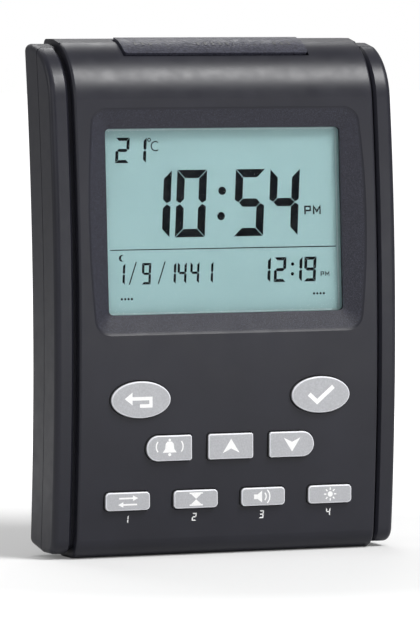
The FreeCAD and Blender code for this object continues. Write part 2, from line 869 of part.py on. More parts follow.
def make_rear_cover():
    cover = shell.common(seam_cylinder(size("seam_gap")))
    half = size("hump_width") / 2
    start = size("panel_base_depth") + size("hump_root")
    bevel = size("hump_bevel")
    profile = [
        (start, size("pad_thick")),
        (size("hump_depth"), size("pad_thick")),
        (size("hump_depth"), size("hump_top") - bevel),
        (size("hump_depth") - bevel, size("hump_top")),
        (start, size("hump_top") + size("hump_shoulder")),
    ]
    edges = []
    for index, corner in enumerate(profile):
        after = profile[(index + 1) % len(profile)]
        edges.append(Part.LineSegment(at(*corner), at(*after)).toShape())
    hump = extrude(edges, size("hump_width"))
    verticals = [edge for edge in hump.Edges
                 if edge.BoundBox.XLength < 0.01 and edge.CenterOfMass.y > front_y + start + OVER
                 and edge.CenterOfMass.z > size("pad_thick") + HAIR]
    hump = hump.makeFillet(size("hump_round"), verticals)
    hump = hump.cut(cavity)
    wall = size("bay_wall")
    bay_shell = box(-size("bay_half_length") - wall, size("bay_half_length") + wall,
                    bay_front - wall, bay_back - size("bay_shell_gap"),
                    size("bay_bottom") - wall, bay_top + wall)
    pads = []
    for x, height in case_screw_places():
        deep = back_depth(height) - size("screw_seat") - size("screw_shelf")
        pads.append(rod(size("screw_pad_radius"), back_depth(height) - deep - size("screw_pad_recess"),
                        at(deep, height, x)))
    ring_front = speaker_back + size("fit_gap")
    ring_length = back_depth(size("speaker_height")) - size("ring_root") - ring_front
    ring = rod(size("speaker_radius") + size("ring_wall"), ring_length,
               at(ring_front, size("speaker_height")))
    ring = ring.cut(rod(size("speaker_radius") - size("ring_lip"), ring_length + 2 * OVER,
                        at(ring_front - OVER, size("speaker_height"))))
    cover = cover.fuse([hump, bay_shell, ring] + pads)
    cuts = [
        box(-size("bay_half_length"), size("bay_half_length"), bay_front, size("hump_depth") + OVER,
            size("bay_bottom"), bay_top),
        box(-door_half - size("door_gap"), door_half + size("door_gap"),
            bay_back, size("hump_depth") + OVER, door_low - size("door_gap"), door_high + size("door_gap")),
        bar_block(size("bar_gap"), size("bar_well_reach")),
    ]
    hole = size("door_pin_radius") + size("pin_play")
    reach = door_half + size("door_pin_length") + size("door_gap")
    cuts.append(rod(hole, 2 * reach, at(door_axis[0], door_axis[1], -reach), Vector(1, 0, 0)))
    screw_run = 10.0
    for x, height in case_screw_places():
        seat = back_depth(height) - size("screw_seat")
        cuts.append(rod(size("case_screw_radius") + size("screw_hole_play"), 2 * screw_run,
                        at(seat - screw_run, height, x)))
        cuts.append(rod(size("case_screw_head") + size("screw_head_play"), screw_run,
                        at(seat, height, x)))
    pitch = size("grille_pitch")
    rings = math.ceil(size("grille_radius") / pitch)
    for column in range(-rings, rings + 1):
        for line in range(-rings, rings + 1):
            x = pitch * (column + 0.5 * (line % 2))
            z = pitch * math.sqrt(0.75) * line
            if math.hypot(x, z) < size("grille_radius"):
                cuts.append(rod(size("grille_hole"), screw_run,
                                at(speaker_back + 2 * size("fit_gap"), size("speaker_height") + z, x)))
    return cover.cut(cuts)


def make_battery_door():
    low = door_axis[1]
    plate = box(-door_half, door_half, bay_back, size("hump_depth"), low, door_high)
    roll = rod(size("door_thick") / 2, 2 * door_half, at(door_axis[0], low, -door_half),
               Vector(1, 0, 0))
    reach = door_half + size("door_pin_length")
    pins = rod(size("door_pin_radius"), 2 * reach, at(door_axis[0], low, -reach), Vector(1, 0, 0))
    door = plate.fuse([roll, pins])
    grip = []
    lines = 5
    half = size("grip_width") / 2
    outside = size("hump_depth") + OVER
    for index in range(lines):
        z = door_high - size("grip_drop") - size("grip_pitch") * index
        grip.append(box(-half, half, size("hump_depth") - size("grip_depth"), outside, z,
                        z + size("grip_line")))
    half = size("notch_width") / 2
    notch = box(-half, half, bay_back - OVER, outside, door_high - size("notch_tall"),
                door_high + OVER)
    return door.cut(grip + [notch])


# Speaker, flat against a ring on the rear wall

speaker_back = back_depth(size("speaker_height") - size("speaker_radius")) - size("rear_wall") \
    - size("speaker_wall_gap")
speaker_front = speaker_back - size("speaker_rim")

keep(piece("front_panel", make_front_panel()))
keep(piece("front_case", make_front_case()))
keep(piece("rear_cover", make_rear_cover()))
keep(piece("battery_door", make_battery_door()))
keep(piece("snooze_bar", make_snooze_bar()))


def make_key(outline, height):
    """Cap with a rounded face edge and a flange that holds it behind the panel."""
    face = surface_depth(height) - size("key_proud")
    cap = prism(outline(0.0, face), flange_back - face)
    rim = [edge for edge in cap.Edges if edge.BoundBox.YMax < front_y + face + 0.01]
    cap = cap.makeFillet(size("key_edge_round"), rim)
    return cap.fuse(prism(outline(size("key_flange"), flange_front), size("key_flange")))


for key_name, key_x, key_height, key_wire in all_keys():
    keep(piece(key_name, make_key(key_wire, key_height)))


def make_key_mat():
    half = size("key_board_width") / 2 - size("mat_side_margin")
    mat = box(-half, half, mat_front, key_board_front,
              size("key_board_bottom") + size("mat_low_margin"),
              size("key_board_top") - size("mat_high_margin"))
    domes = []
    root = mat_front + size("dome_root")
    for name, x, height, outline in all_keys():
        domes.append(Part.makeCone(size("dome_base"), size("dome_tip"),
                                   root - flange_back - size("fit_gap"),
                                   at(root, height, x), Vector(0, -1, 0)))
    return mat.fuse(domes)


keep(piece("key_mat", make_key_mat()))


# Flat pieces as bodies: a bound rectangle, padded away from the front

def plane_of(body_object, role):
    for feature in body_object.Origin.OriginFeatures:
        if feature.Role == role:
            return feature
    raise ValueError(role)


def add_rectangle(sketch, width, tall, x="0", z="0"):
    """Rectangle whose width, height and middle are bound to expressions."""
    points = [(-1, -1), (1, -1), (1, 1), (-1, 1)]
    start = sketch.GeometryCount
    for index in range(4):
        a = points[index]
        b = points[(index + 1) % 4]
        sketch.addGeometry(Part.LineSegment(Vector(a[0], a[1], 0), Vector(b[0], b[1], 0)), False)
    for index in range(4):
        sketch.addConstraint(Sketcher.Constraint("Coincident", start + index, 2,
                                                 start + (index + 1) % 4, 1))
    for index, kind in ((0, "Horizontal"), (1, "Vertical"), (2, "Horizontal"), (3, "Vertical")):
        sketch.addConstraint(Sketcher.Constraint(kind, start + index))
    formulas = [
        ("DistanceX", (start, 1, start, 2), 2.0, width),
        ("DistanceY", (start + 1, 1, start + 1, 2), 2.0, tall),
        ("DistanceX", (-1, 1, start, 1), -1.0, "(%s) - (%s) / 2" % (x, width)),
        ("DistanceY", (-1, 1, start, 1), -1.0, "(%s) - (%s) / 2" % (z, tall)),
    ]
    for kind, ends_of, value, formula in formulas:
        index = sketch.addConstraint(Sketcher.Constraint(kind, *ends_of, value))
        sketch.setExpression("Constraints[%d]" % index, formula)


def plate(name, width, tall, thick, place, hole=None):
    """Body with one padded rectangle, or a frame where a hole is given."""
    body_object = doc.addObject("PartDesign::Body", name)
    body_object.Label = name
    sketch = body_object.newObject("Sketcher::SketchObject", name + "_outline")
    sketch.AttachmentSupport = [(plane_of(body_object, "XZ_Plane"), "")]
    sketch.MapMode = "FlatFace"
    add_rectangle(sketch, width, tall)
    if hole:
        add_rectangle(sketch, hole[0], hole[1])
    pad = body_object.newObject("PartDesign::Pad", name + "_pad")
    pad.Profile = sketch
    pad.setExpression("Length", thick)
    pad.Reversed = True
    body_object.Placement = place
    doc.recompute()
    return body_object


def display_place(depth, x=0.0, z=0.0):
    return display_frame.multiply(Placement(Vector(x, depth, z), Rotation()))


def round_corners(body_object, radius):
    """Fillet on the four edges that run through a plate."""
    base = body_object.Tip
    shape = base.Shape
    names = ["Edge%d" % (index + 1) for index, edge in enumerate(shape.Edges)
             if edge.BoundBox.XLength < 0.001 and edge.BoundBox.ZLength < 0.001]
    fillet = body_object.newObject("PartDesign::Fillet", body_object.Name + "_corners")
    fillet.Base = (base, names)
    fillet.setExpression("Radius", radius)
    doc.recompute()


lens_object = plate("display_window", "Sizes.window_width + 2 * Sizes.lens_margin",
                    "Sizes.window_height + 2 * Sizes.lens_margin", "Sizes.lens_thick",
                    display_place(size("window_depth")))
round_corners(lens_object, "Sizes.window_corner + Sizes.lens_corner_growth")
keep(lens_object)

glass_front = tray_back + size("fit_gap")
keep(plate("lcd_glass", "Sizes.window_width + 2 * Sizes.glass_margin",
           "Sizes.window_height + 2 * Sizes.glass_margin", "Sizes.glass_thick",
           display_place(glass_front)))

holder_inside = ("Sizes.window_width + 2 * Sizes.glass_margin + 2 * Sizes.fit_gap",
                 "Sizes.window_height + 2 * Sizes.glass_margin + 2 * Sizes.fit_gap")
keep(plate("lcd_holder", holder_inside[0] + " + 2 * Sizes.holder_wall",
           holder_inside[1] + " + 2 * Sizes.holder_wall", "Sizes.holder_depth - Sizes.fit_gap",
           display_place(glass_front), hole=holder_inside))

guide_front = glass_front + size("glass_thick") + size("fit_gap")
keep(plate("light_guide", "Sizes.window_width", "Sizes.window_height - 2 * Sizes.strip_height",
           "Sizes.guide_thick", display_place(guide_front)))
keep(plate("main_board", FORMULAS["main_board_width"], FORMULAS["main_board_height"],
           "Sizes.board_thick", display_place(board_front)))
key_board_middle = (size("key_board_top") + size("key_board_bottom")) / 2
key_board_tall = "%s - (%s)" % (FORMULAS["key_board_top"], FORMULAS["key_board_bottom"])
keep(plate("key_board", FORMULAS["key_board_width"], key_board_tall,
           "Sizes.board_thick", Placement(at(key_board_front, key_board_middle), Rotation())))


def drill(body_object, places, radius):
    """Round screw holes through a board, at places counted from its middle."""
    sketch = body_object.newObject("Sketcher::SketchObject", body_object.Name + "_holes")
    sketch.AttachmentSupport = [(plane_of(body_object, "XZ_Plane"), "")]
    sketch.MapMode = "FlatFace"
    for x, z in places:
        index = sketch.addGeometry(Part.Circle(Vector(x, z, 0), Vector(0, 0, 1), 1.0), False)
        rule = sketch.addConstraint(Sketcher.Constraint("Radius", index, 1.0))
        sketch.setExpression("Constraints[%d]" % rule, radius)
        sketch.addConstraint(Sketcher.Constraint("DistanceX", -1, 1, index, 3, x))
        sketch.addConstraint(Sketcher.Constraint("DistanceY", -1, 1, index, 3, z))
    pocket = body_object.newObject("PartDesign::Pocket", body_object.Name + "_drilled")
    pocket.Profile = sketch
    pocket.Type = "ThroughAll"
    pocket.Midplane = True
    doc.recompute()


board_hole = "Sizes.board_screw_radius + Sizes.board_hole_play"
drill(doc.getObject("main_board"), board_hole_places(), board_hole)
drill(doc.getObject("key_board"),
      [(x, height - key_board_middle) for x, height in key_hole_places()], board_hole)


# Small pieces on the boards, from primitives bound to the sheet

def primitive(kind, name, place, **formulas):
    feature = doc.addObject(kind, name)
    for field, formula in formulas.items():
        if isinstance(formula, str):
            feature.setExpression(field, formula)
        else:
            setattr(feature, field, formula)
    feature.Placement = place
    return feature


def group(name, members):
    """Several like solids that share one node."""
    fused = doc.addObject("Part::MultiFuse", name)
    fused.Label = name
    fused.Shapes = members
    return fused


Y_ROD = Rotation(Vector(1, 0, 0), -90)
X_ROD = Rotation(Vector(0, 1, 0), 90)

strips = []
for sign in (1, -1):
    strip_z = sign * (size("window_height") / 2) - size("strip_height") / 2
    place = display_place(guide_front, -size("window_width") / 2 + size("strip_inset"), strip_z)
    strips.append(primitive("Part::Box", "strip_%d" % len(strips), place,
                            Length="Sizes.window_width - 2 * Sizes.strip_inset",
                            Width="Sizes.holder_depth - Sizes.glass_thick - 3 * Sizes.fit_gap",
                            Height="Sizes.strip_height"))
keep(group("contact_strips", strips))

leds = []
for sign in (1, -1):
    place = display_place(guide_front, size("window_width") / 2 + size("fit_gap"),
                          sign * size("led_offset") - size("led_length") / 2)
    leds.append(primitive("Part::Box", "led_%d" % len(leds), place, Length="Sizes.led_thick",
                          Width="Sizes.guide_thick", Height="Sizes.led_length"))


def on_board(name, kind, x, z, turn=None, lift=0.0, **formulas):
    """A component on the back of the main board."""
    rotation = turn if turn else Rotation()
    place = display_frame.multiply(Placement(Vector(x, board_back + lift, z), rotation))
    return primitive(kind, name, place, **formulas)


chip_place = (size("chip_right"), size("chip_up"), Y_ROD)
chip = on_board("chip_dome", "Part::Cone", *chip_place, Radius1="Sizes.chip_radius",
                Radius2="Sizes.chip_top_radius", Height="Sizes.chip_tall")
chip_rim = on_board("chip_rim", "Part::Cylinder", *chip_place,
                    Radius="Sizes.chip_radius + Sizes.chip_rim_width", Height="Sizes.chip_rim_tall")
keep(group("clock_chip", [chip, chip_rim]))
crystal = on_board("crystal", "Part::Cylinder", size("crystal_right"), 0, X_ROD,
                   size("crystal_radius") + size("lead_gap"), Radius="Sizes.crystal_radius",
                   Height="Sizes.crystal_length")
crystal.Label = "crystal"
keep(crystal)
cans = []
for index in range(2):
    cans.append(on_board("capacitor_%d" % index, "Part::Cylinder", -size("capacitor_left"),
                         size("capacitor_up") - index * size("capacitor_pitch"), X_ROD,
                         size("capacitor_radius") + size("lead_gap"),
                         Radius="Sizes.capacitor_radius", Height="Sizes.capacitor_length"))
keep(group("capacitors", cans))
thermistor = on_board("thermistor", "Part::Box", size("thermistor_right"),
                      -size("thermistor_down"), Length="Sizes.thermistor_length",
                      Width="Sizes.thermistor_thick", Height="Sizes.thermistor_thick")
thermistor.Label = "thermistor"
keep(thermistor)

switch_bottom = switch_top - size("stem_length") + size("stem_root") - size("switch_tall")
switch_box = primitive("Part::Box", "switch_box",
                       Placement(at(switch_depth - size("switch_width") / 2, switch_bottom,
                                    -size("switch_length") / 2), Rotation()),
                       Length="Sizes.switch_length", Width="Sizes.switch_width",
                       Height="Sizes.switch_tall")
switch_stem = primitive("Part::Cylinder", "switch_stem",
                        Placement(at(switch_depth, switch_top - size("stem_length")), Rotation()),
                        Radius="Sizes.stem_radius", Height="Sizes.stem_length")
keep(group("snooze_switch", [switch_box, switch_stem]))


def make_board_link():
    """Flat jumper strip between the backs of the two boards."""
    low = key_board_front + size("board_thick") + size("fit_gap")
    end = size("window_centre_height") - size("main_board_height") / 2
    top = end + size("link_end")
    bend = end - size("link_bend")
    bottom = bend - size("link_end")
    high = (display_frame.Base.y - front_y + board_back
            + (top - size("window_centre_height")) * board_slope + size("link_play"))
    thick = size("link_thick")
    points = [(low, bottom), (low, bend), (high, end), (high, top),
              (high + thick, top), (high + thick, end), (low + thick, bend),
              (low + thick, bottom)]
    corners = [at(*point) for point in points]
    edges = [Part.LineSegment(corner, corners[(index + 1) % len(corners)]).toShape()
             for index, corner in enumerate(corners)]
    return extrude(edges, size("link_width"))


keep(piece("board_link", make_board_link()))


def screw(radius, head, length, head_height, x, depth, height):
    """Pan head screw that points at the front; depth is where its head rests."""
    shank = rod(radius, length, at(depth - length, height, x))
    cap = rod(head, head_height, at(depth, height, x))
    half = size("cross_width") / 2
    reach = head * 0.7
    floor = depth + head_height / 2
    outside = depth + head_height + OVER
    across = box(x - reach, x + reach, floor, outside, height - half, height + half)
    upright = box(x - half, x + half, floor, outside, height - reach, height + reach)
    return shank.fuse(cap).cut(across.fuse(upright))


case_screws = []
for x, height in case_screw_places():
    case_screws.append(screw(size("case_screw_radius"), size("case_screw_head"),
                             size("case_screw_length"), size("case_screw_head_tall"), x,
                             back_depth(height) - size("screw_seat"), height))
keep(piece("case_screws", Part.makeCompound(case_screws)))

key_screws = []
for x, height in key_hole_places():
    key_screws.append(screw(size("board_screw_radius"), size("board_screw_head"),
                            size("key_screw_length"), size("board_screw_head_tall"), x,
                            key_board_front + size("board_thick"), height))
keep(piece("key_board_screws", Part.makeCompound(key_screws)))

board_screws = []
for x, z in board_hole_places():
    length = size("board_screw_length")
    tall = size("board_screw_head_tall")
    shank = tilted_rod(size("board_screw_radius"), x, z, board_back - length, board_back)
    cap = tilted_rod(size("board_screw_head"), x, z, board_back, board_back + tall)
    board_screws.append(shank.fuse(cap))
keep(piece("board_screws", Part.makeCompound(board_screws)))

# Speaker pieces

speaker_z = size("speaker_height")


def make_speaker_frame():
    ring = rod(size("speaker_radius"), size("speaker_rim"), at(speaker_front, speaker_z))
    return ring.cut(rod(size("speaker_radius") - size("frame_wall"), size("speaker_rim"),
                        at(speaker_front + size("frame_back"), speaker_z)))


def make_speaker_cone():
    return Part.makeCone(size("speaker_radius") - size("frame_wall") - size("cone_play"),
                         size("cone_inner_radius"), size("cone_tall"),
                         at(speaker_back - size("speaker_wall_gap"), speaker_z), Vector(0, -1, 0))


keep(piece("speaker_frame", make_speaker_frame()))
keep(piece("speaker_cone", make_speaker_cone()))
magnet = primitive("Part::Cylinder", "speaker_magnet",
                   Placement(at(speaker_front - size("magnet_tall"), speaker_z), Y_ROD),
                   Radius="Sizes.magnet_radius", Height="Sizes.magnet_tall")
magnet.Label = "speaker_magnet"
keep(magnet)

# Cells and their contacts

cell_depth = (bay_front + bay_back) / 2
cell_r = size("cell_diameter") / 2
cell_heights = (size("bay_bottom") + size("cell_gap") + cell_r,
                bay_top - size("cell_gap") - cell_r)
plate_thick = size("contact_thick")
nub = size("nub_length")


def make_cell(height, sign):
    end = size("bay_half_length") - plate_thick - 2 * size("fit_gap")
    case_length = size("cell_length") - nub
    tip = rod(size("nub_radius"), nub, at(cell_depth, height, sign * end), Vector(-sign, 0, 0))
    can = rod(cell_r, case_length, at(cell_depth, height, sign * (end - nub)), Vector(-sign, 0, 0))
    return can.fuse(tip)


def make_contact(height, sign, springy):
    wall_x = size("bay_half_length") - size("fit_gap")
    x0 = sign * wall_x
    x1 = sign * (wall_x - plate_thick)
    half_wide = size("contact_width") / 2
    half_tall = size("contact_tall") / 2
    tab = box(min(x0, x1), max(x0, x1), cell_depth - half_wide, cell_depth + half_wide,
              height - half_tall, height + half_tall)
    if not springy:
        return tab
    gap = 2 * size("bay_half_length") - 2 * plate_thick - size("cell_length") - 4 * size("fit_gap")
    wall = size("spring_wall")
    base = at(cell_depth, height, x1)
    inward = Vector(-sign, 0, 0)
    cone = Part.makeCone(size("spring_base"), size("spring_tip"), gap, base, inward)
    hollow = Part.makeCone(size("spring_base") - wall, size("spring_tip") - wall, gap, base, inward)
    return tab.fuse(cone.cut(hollow))


keep(piece("battery_cells", Part.makeCompound([make_cell(cell_heights[0], 1),
                                               make_cell(cell_heights[1], -1)])))
keep(piece("positive_contacts", Part.makeCompound([make_contact(cell_heights[0], 1, False),
                                                   make_contact(cell_heights[1], -1, False)])))
keep(piece("negative_contacts", Part.makeCompound([make_contact(cell_heights[0], -1, True),
                                                   make_contact(cell_heights[1], 1, True)])))

pads = []
for sign in (1, -1):
    pads.append(primitive("Part::Cylinder", "pad_%d" % len(pads),
                          Placement(at(size("pad_depth"), 0, sign * size("pad_offset")),
                                    Rotation()),
                          Radius="Sizes.pad_radius", Height="Sizes.pad_thick"))
keep(group("foot_pads", pads))

led_group = group("light_leds", leds)
keep(led_group)

doc.recompute()

# Checks before anything is written

for item in doc.Objects:
    if "Invalid" in item.State or "Error" in item.State:
        raise RuntimeError("failed: " + item.Name)
for item in SUB_PARTS:
    if item.Shape.isNull() or not item.Shape.isValid():
        raise RuntimeError("bad shape: " + item.Label)

whole = Part.makeCompound([item.Shape for item in SUB_PARTS]).BoundBox
if abs(whole.XLength - size("body_width")) > OVER:
    raise RuntimeError("the pieces reach beyond the case's width")

os.makedirs("parts", exist_ok=True)
for item in SUB_PARTS:
    item.Shape.exportStep("parts/%s.step" % item.Label)
print("sub-parts", len(SUB_PARTS))
print("box", whole.XMin, whole.XMax, whole.YMin, whole.YMax, whole.ZMin, whole.ZMax)
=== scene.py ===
import math

import bmesh
import bpy
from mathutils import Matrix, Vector


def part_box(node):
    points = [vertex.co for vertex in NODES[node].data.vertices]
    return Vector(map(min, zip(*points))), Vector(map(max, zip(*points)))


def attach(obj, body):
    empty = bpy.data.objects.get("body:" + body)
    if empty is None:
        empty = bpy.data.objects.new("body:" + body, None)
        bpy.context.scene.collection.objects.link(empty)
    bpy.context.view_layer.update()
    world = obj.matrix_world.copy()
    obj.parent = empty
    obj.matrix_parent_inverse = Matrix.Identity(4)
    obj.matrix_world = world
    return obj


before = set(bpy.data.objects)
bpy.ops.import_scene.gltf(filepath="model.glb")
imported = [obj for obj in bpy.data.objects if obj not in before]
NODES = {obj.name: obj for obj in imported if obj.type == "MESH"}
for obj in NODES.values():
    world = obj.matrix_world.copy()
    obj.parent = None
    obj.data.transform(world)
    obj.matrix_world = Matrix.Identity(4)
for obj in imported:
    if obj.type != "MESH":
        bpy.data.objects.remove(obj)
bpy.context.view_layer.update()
MM = 0.001

KEYS = ("exit_key", "set_key", "alarm_key", "up_key", "down_key",
        "convert_key", "delay_key", "sound_key", "call_key")
NUMBERED_KEYS = ("convert_key", "delay_key", "sound_key", "call_key")

# Real sizes of the display and of the bowed front

LEAN = math.radians(3.4508)
BOW_RADIUS = 520.0 * MM
APEX_HEIGHT = 53.5 * MM
FRONT_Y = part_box("front_panel")[0].y

ACROSS = Vector((1, 0, 0))
UP_GLASS = Vector((0, math.sin(LEAN), math.cos(LEAN)))
INTO_GLASS = Vector((0, math.cos(LEAN), -math.sin(LEAN)))
glass_low, glass_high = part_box("lcd_glass")
GLASS_THICK = 2.2 * MM
GLASS_FACE = (glass_low + glass_high) / 2 - INTO_GLASS * (GLASS_THICK / 2)

PRINT_THICK = 0.03 * MM
PRINT_LIFT = 0.01 * MM
KEY_PRINT_LIFT = 0.008 * MM

# The part of the front panel that has the coarse grain: the walls of the display recess

RECESS_HALF_WIDTH = 38.4 * MM
RECESS_HALF_HEIGHT = 29.3 * MM
GRAIN_STARTS_DEPTH = 0.12 * MM
GRAIN_FULL_DEPTH = 0.35 * MM


# Camera, from the front left and slightly above

VIEW_AZIMUTH = math.radians(-22.0)
VIEW_ELEVATION = math.radians(3.4)
VIEW_DISTANCE = 1.36
AIM_RIGHT = -5.22 * MM
AIM_UP = 60.73 * MM
SENSOR = 36.0
LENS = 307.1
NEAREST_SEEN = 0.05
FARTHEST_SEEN = 30


def make_camera():
    turn = -VIEW_AZIMUTH
    sight = Vector((math.sin(turn) * math.cos(VIEW_ELEVATION),
                    math.cos(turn) * math.cos(VIEW_ELEVATION),
                    -math.sin(VIEW_ELEVATION)))
    right = Vector((math.cos(turn), -math.sin(turn), 0))
    up = right.cross(sight)
    aim = Vector((0, FRONT_Y, 0)) + right * AIM_RIGHT + up * AIM_UP
    data = bpy.data.cameras.new("camera")
    data.sensor_width = SENSOR
    data.lens = LENS
    data.clip_start = NEAREST_SEEN
    data.clip_end = FARTHEST_SEEN
    camera = bpy.data.objects.new("camera", data)
    bpy.context.scene.collection.objects.link(camera)
    camera.location = aim - sight * VIEW_DISTANCE
    camera.rotation_mode = "QUATERNION"
    camera.rotation_quaternion = sight.to_track_quat("-Z", "Y")
    bpy.context.scene.camera = camera


# Materials

class Finish:
    """A procedural material: a Principled shader with helpers for what feeds it."""

    def __init__(self, name, colour, roughness, **fixed):
        self.material = bpy.data.materials.new(name)
        self.material.use_nodes = True
        self.nodes = self.material.node_tree.nodes
        self.links = self.material.node_tree.links
        self.shader = self.nodes["Principled BSDF"]
        self.shader.inputs["Base Color"].default_value = (*colour, 1)
        self.shader.inputs["Roughness"].default_value = roughness
        for field, value in fixed.items():
            self.shader.inputs[field.replace("_", " ")].default_value = value
        self.place = self.nodes.new("ShaderNodeTexCoord").outputs["Object"]
        self.normal = None

    def noise(self, scale, detail=4.0, roughness=0.55):
        node = self.nodes.new("ShaderNodeTexNoise")
        node.inputs["Scale"].default_value = scale
        node.inputs["Detail"].default_value = detail
        node.inputs["Roughness"].default_value = roughness
        self.links.new(self.place, node.inputs["Vector"])
        return node.outputs["Fac"]

    def pebbles(self, scale):
        """Distance from the middle of the nearest of many rounded cells."""
        node = self.nodes.new("ShaderNodeTexVoronoi")
        node.feature = "SMOOTH_F1"
        node.inputs["Scale"].default_value = scale
        self.links.new(self.place, node.inputs["Vector"])
        return node.outputs["Distance"]

    def math(self, operation, first, second=None, third=None):
        node = self.nodes.new("ShaderNodeMath")
        node.operation = operation
        for index, value in enumerate((first, second, third)):
            if value is None:
                continue
            if isinstance(value, (int, float)):
                node.inputs[index].default_value = value
            else:
                self.links.new(value, node.inputs[index])
        return node.outputs[0]

    def spread(self, value, low, high, out_low, out_high):
        """Maps low to high onto out_low to out_high, and stops at both ends."""
        node = self.nodes.new("ShaderNodeMapRange")
        node.clamp = True
        self.links.new(value, node.inputs["Value"])
        for field, number in (("From Min", low), ("From Max", high),
                              ("To Min", out_low), ("To Max", out_high)):
            node.inputs[field].default_value = number
        return node.outputs["Result"]

    def patches(self, scale, detail=4.0, low=0.35, high=0.7):
        """Soft patches between 0 and 1."""
        return self.spread(self.noise(scale, detail), low, high, 0.0, 1.0)

    def wander(self, scale, detail, smooth, rough, low=0.3, high=0.7):
        """Gloss that wanders between a smooth and a rough value."""
        self.feed("Roughness", self.spread(self.noise(scale, detail), low, high, smooth, rough))

    def blend(self, factor, first, second):
        node = self.nodes.new("ShaderNodeMix")
        node.data_type = "RGBA"
        self.links.new(factor, node.inputs["Factor"])
        for socket, value in ((node.inputs[6], first), (node.inputs[7], second)):
            if isinstance(value, tuple):
                socket.default_value = (*value, 1)
            else:
                self.links.new(value, socket)
        return node.outputs[2]

    def bump(self, height, strength, distance):
        node = self.nodes.new("ShaderNodeBump")
        node.inputs["Distance"].default_value = distance
        if isinstance(strength, (int, float)):
            node.inputs["Strength"].default_value = strength
        else:
            self.links.new(strength, node.inputs["Strength"])
        self.links.new(height, node.inputs["Height"])
        if self.normal is not None:
            self.links.new(self.normal, node.inputs["Normal"])
        self.normal = node.outputs["Normal"]
        self.links.new(self.normal, self.shader.inputs["Normal"])

    def feed(self, field, value):
        self.links.new(value, self.shader.inputs[field])

    def facing(self):
        """How squarely the surface faces the front or the back, from 0 to 1."""
        node = self.nodes.new("ShaderNodeSeparateXYZ")
        self.links.new(self.nodes.new("ShaderNodeNewGeometry").outputs["Normal"], node.inputs[0])
        return self.math("ABSOLUTE", node.outputs["Y"])

    def axes(self):
        node = self.nodes.new("ShaderNodeSeparateXYZ")
        self.links.new(self.place, node.inputs[0])
        return node.outputs


def shade(colour, factor):
    return tuple(channel * factor for channel in colour)


# Spark-eroded grain that the moulded pieces share

MOULD_GRAIN = 5200
MOULD_GRAIN_STRENGTH = 0.12
MOULD_GRAIN_DEPTH = 0.04 * MM
CLOUDING = 60
CLOUD_DARK = 0.9
CLOUD_LIGHT = 1.12
GLOSS_SCALE = 240
GLOSS_SMOOTHER = 0.04
GLOSS_ROUGHER = 0.05
GLOSS_LOW = 0.3
GLOSS_HIGH = 0.75


def clouded(finish, colour):
    clouds = finish.patches(CLOUDING)
    return finish.blend(clouds, shade(colour, CLOUD_DARK), shade(colour, CLOUD_LIGHT))


def moulded(name, colour, roughness, grain_scale=MOULD_GRAIN, grain=MOULD_GRAIN_STRENGTH, **fixed):
    """Moulded plastic: slight clouding, fine spark-eroded grain and uneven gloss."""
    finish = Finish(name, colour, roughness, **fixed)
    finish.feed("Base Color", clouded(finish, colour))
    finish.wander(GLOSS_SCALE, 3, roughness - GLOSS_SMOOTHER, roughness + GLOSS_ROUGHER,
                  GLOSS_LOW, GLOSS_HIGH)
    finish.bump(finish.noise(grain_scale, 2), grain, MOULD_GRAIN_DEPTH)
    return finish.material


# Plastic of the case, the panel, the bar and the door

CASE = (0.015, 0.0153, 0.022)
CASE_SHEEN = 0.3
CASE_ROUGHNESS = 0.36
RECESS_ROUGHER = 0.12
SPECK_DARK = 1.0
# Painted glints: the light specks of the recess grain, as a multiple of the case colour
SPECK_GLINT = 3.4
RECESS_GRAIN = 3600
RECESS_GRAIN_STRENGTH = 0.8
RECESS_GRAIN_DEPTH = 0.12 * MM


def recess_walls(finish):
    """1 on the walls of the display recess, 0 on the rest of the panel."""
    x, y, z = finish.axes()
    fall = finish.math("SUBTRACT", z, APEX_HEIGHT)
    bowed = finish.math("DIVIDE", finish.math("MULTIPLY", fall, fall), 2 * BOW_RADIUS)
    depth = finish.math("SUBTRACT", finish.math("SUBTRACT", y, FRONT_Y), bowed)
    deep = finish.spread(depth, GRAIN_STARTS_DEPTH, GRAIN_FULL_DEPTH, 0.0, 1.0)
    across = finish.math("LESS_THAN", finish.math("ABSOLUTE", x), RECESS_HALF_WIDTH)
    middle = finish.math("ABSOLUTE", finish.math("SUBTRACT", z, GLASS_FACE.z))
    tall = finish.math("LESS_THAN", middle, RECESS_HALF_HEIGHT)
    return finish.math("MULTIPLY", deep, finish.math("MULTIPLY", across, tall))


def panel_material():
    """Case plastic with a coarse grain on the walls of the display recess, whose glitter is
    painted: lighter specks in its colour stand in for glints.
    """
    finish = Finish("panel_plastic", CASE, CASE_ROUGHNESS, Specular_IOR_Level=CASE_SHEEN)
    recess = recess_walls(finish)
    # Painted glints: lighter specks in the recess colour stand in for the sparkle of the coarse
    # grain, beside its real bump and roughness.
    glint_specks = finish.spread(finish.noise(MOULD_GRAIN, 2, 0.7), 0.46, 0.68, 0.0, 1.0)
    grain_with_glints = finish.blend(glint_specks, shade(CASE, SPECK_DARK), shade(CASE, SPECK_GLINT))
    finish.feed("Base Color", finish.blend(recess, clouded(finish, CASE), grain_with_glints))
    gloss = finish.spread(finish.noise(GLOSS_SCALE, 3), GLOSS_LOW, GLOSS_HIGH,
                          CASE_ROUGHNESS - GLOSS_SMOOTHER, CASE_ROUGHNESS + GLOSS_ROUGHER)
    finish.feed("Roughness", finish.math("MULTIPLY_ADD", recess, RECESS_ROUGHER, gloss))
    finish.bump(finish.noise(MOULD_GRAIN, 2), MOULD_GRAIN_STRENGTH, MOULD_GRAIN_DEPTH)
    finish.bump(finish.noise(RECESS_GRAIN, 3, 0.7),
                finish.math("MULTIPLY", recess, RECESS_GRAIN_STRENGTH), RECESS_GRAIN_DEPTH)
    return finish.material


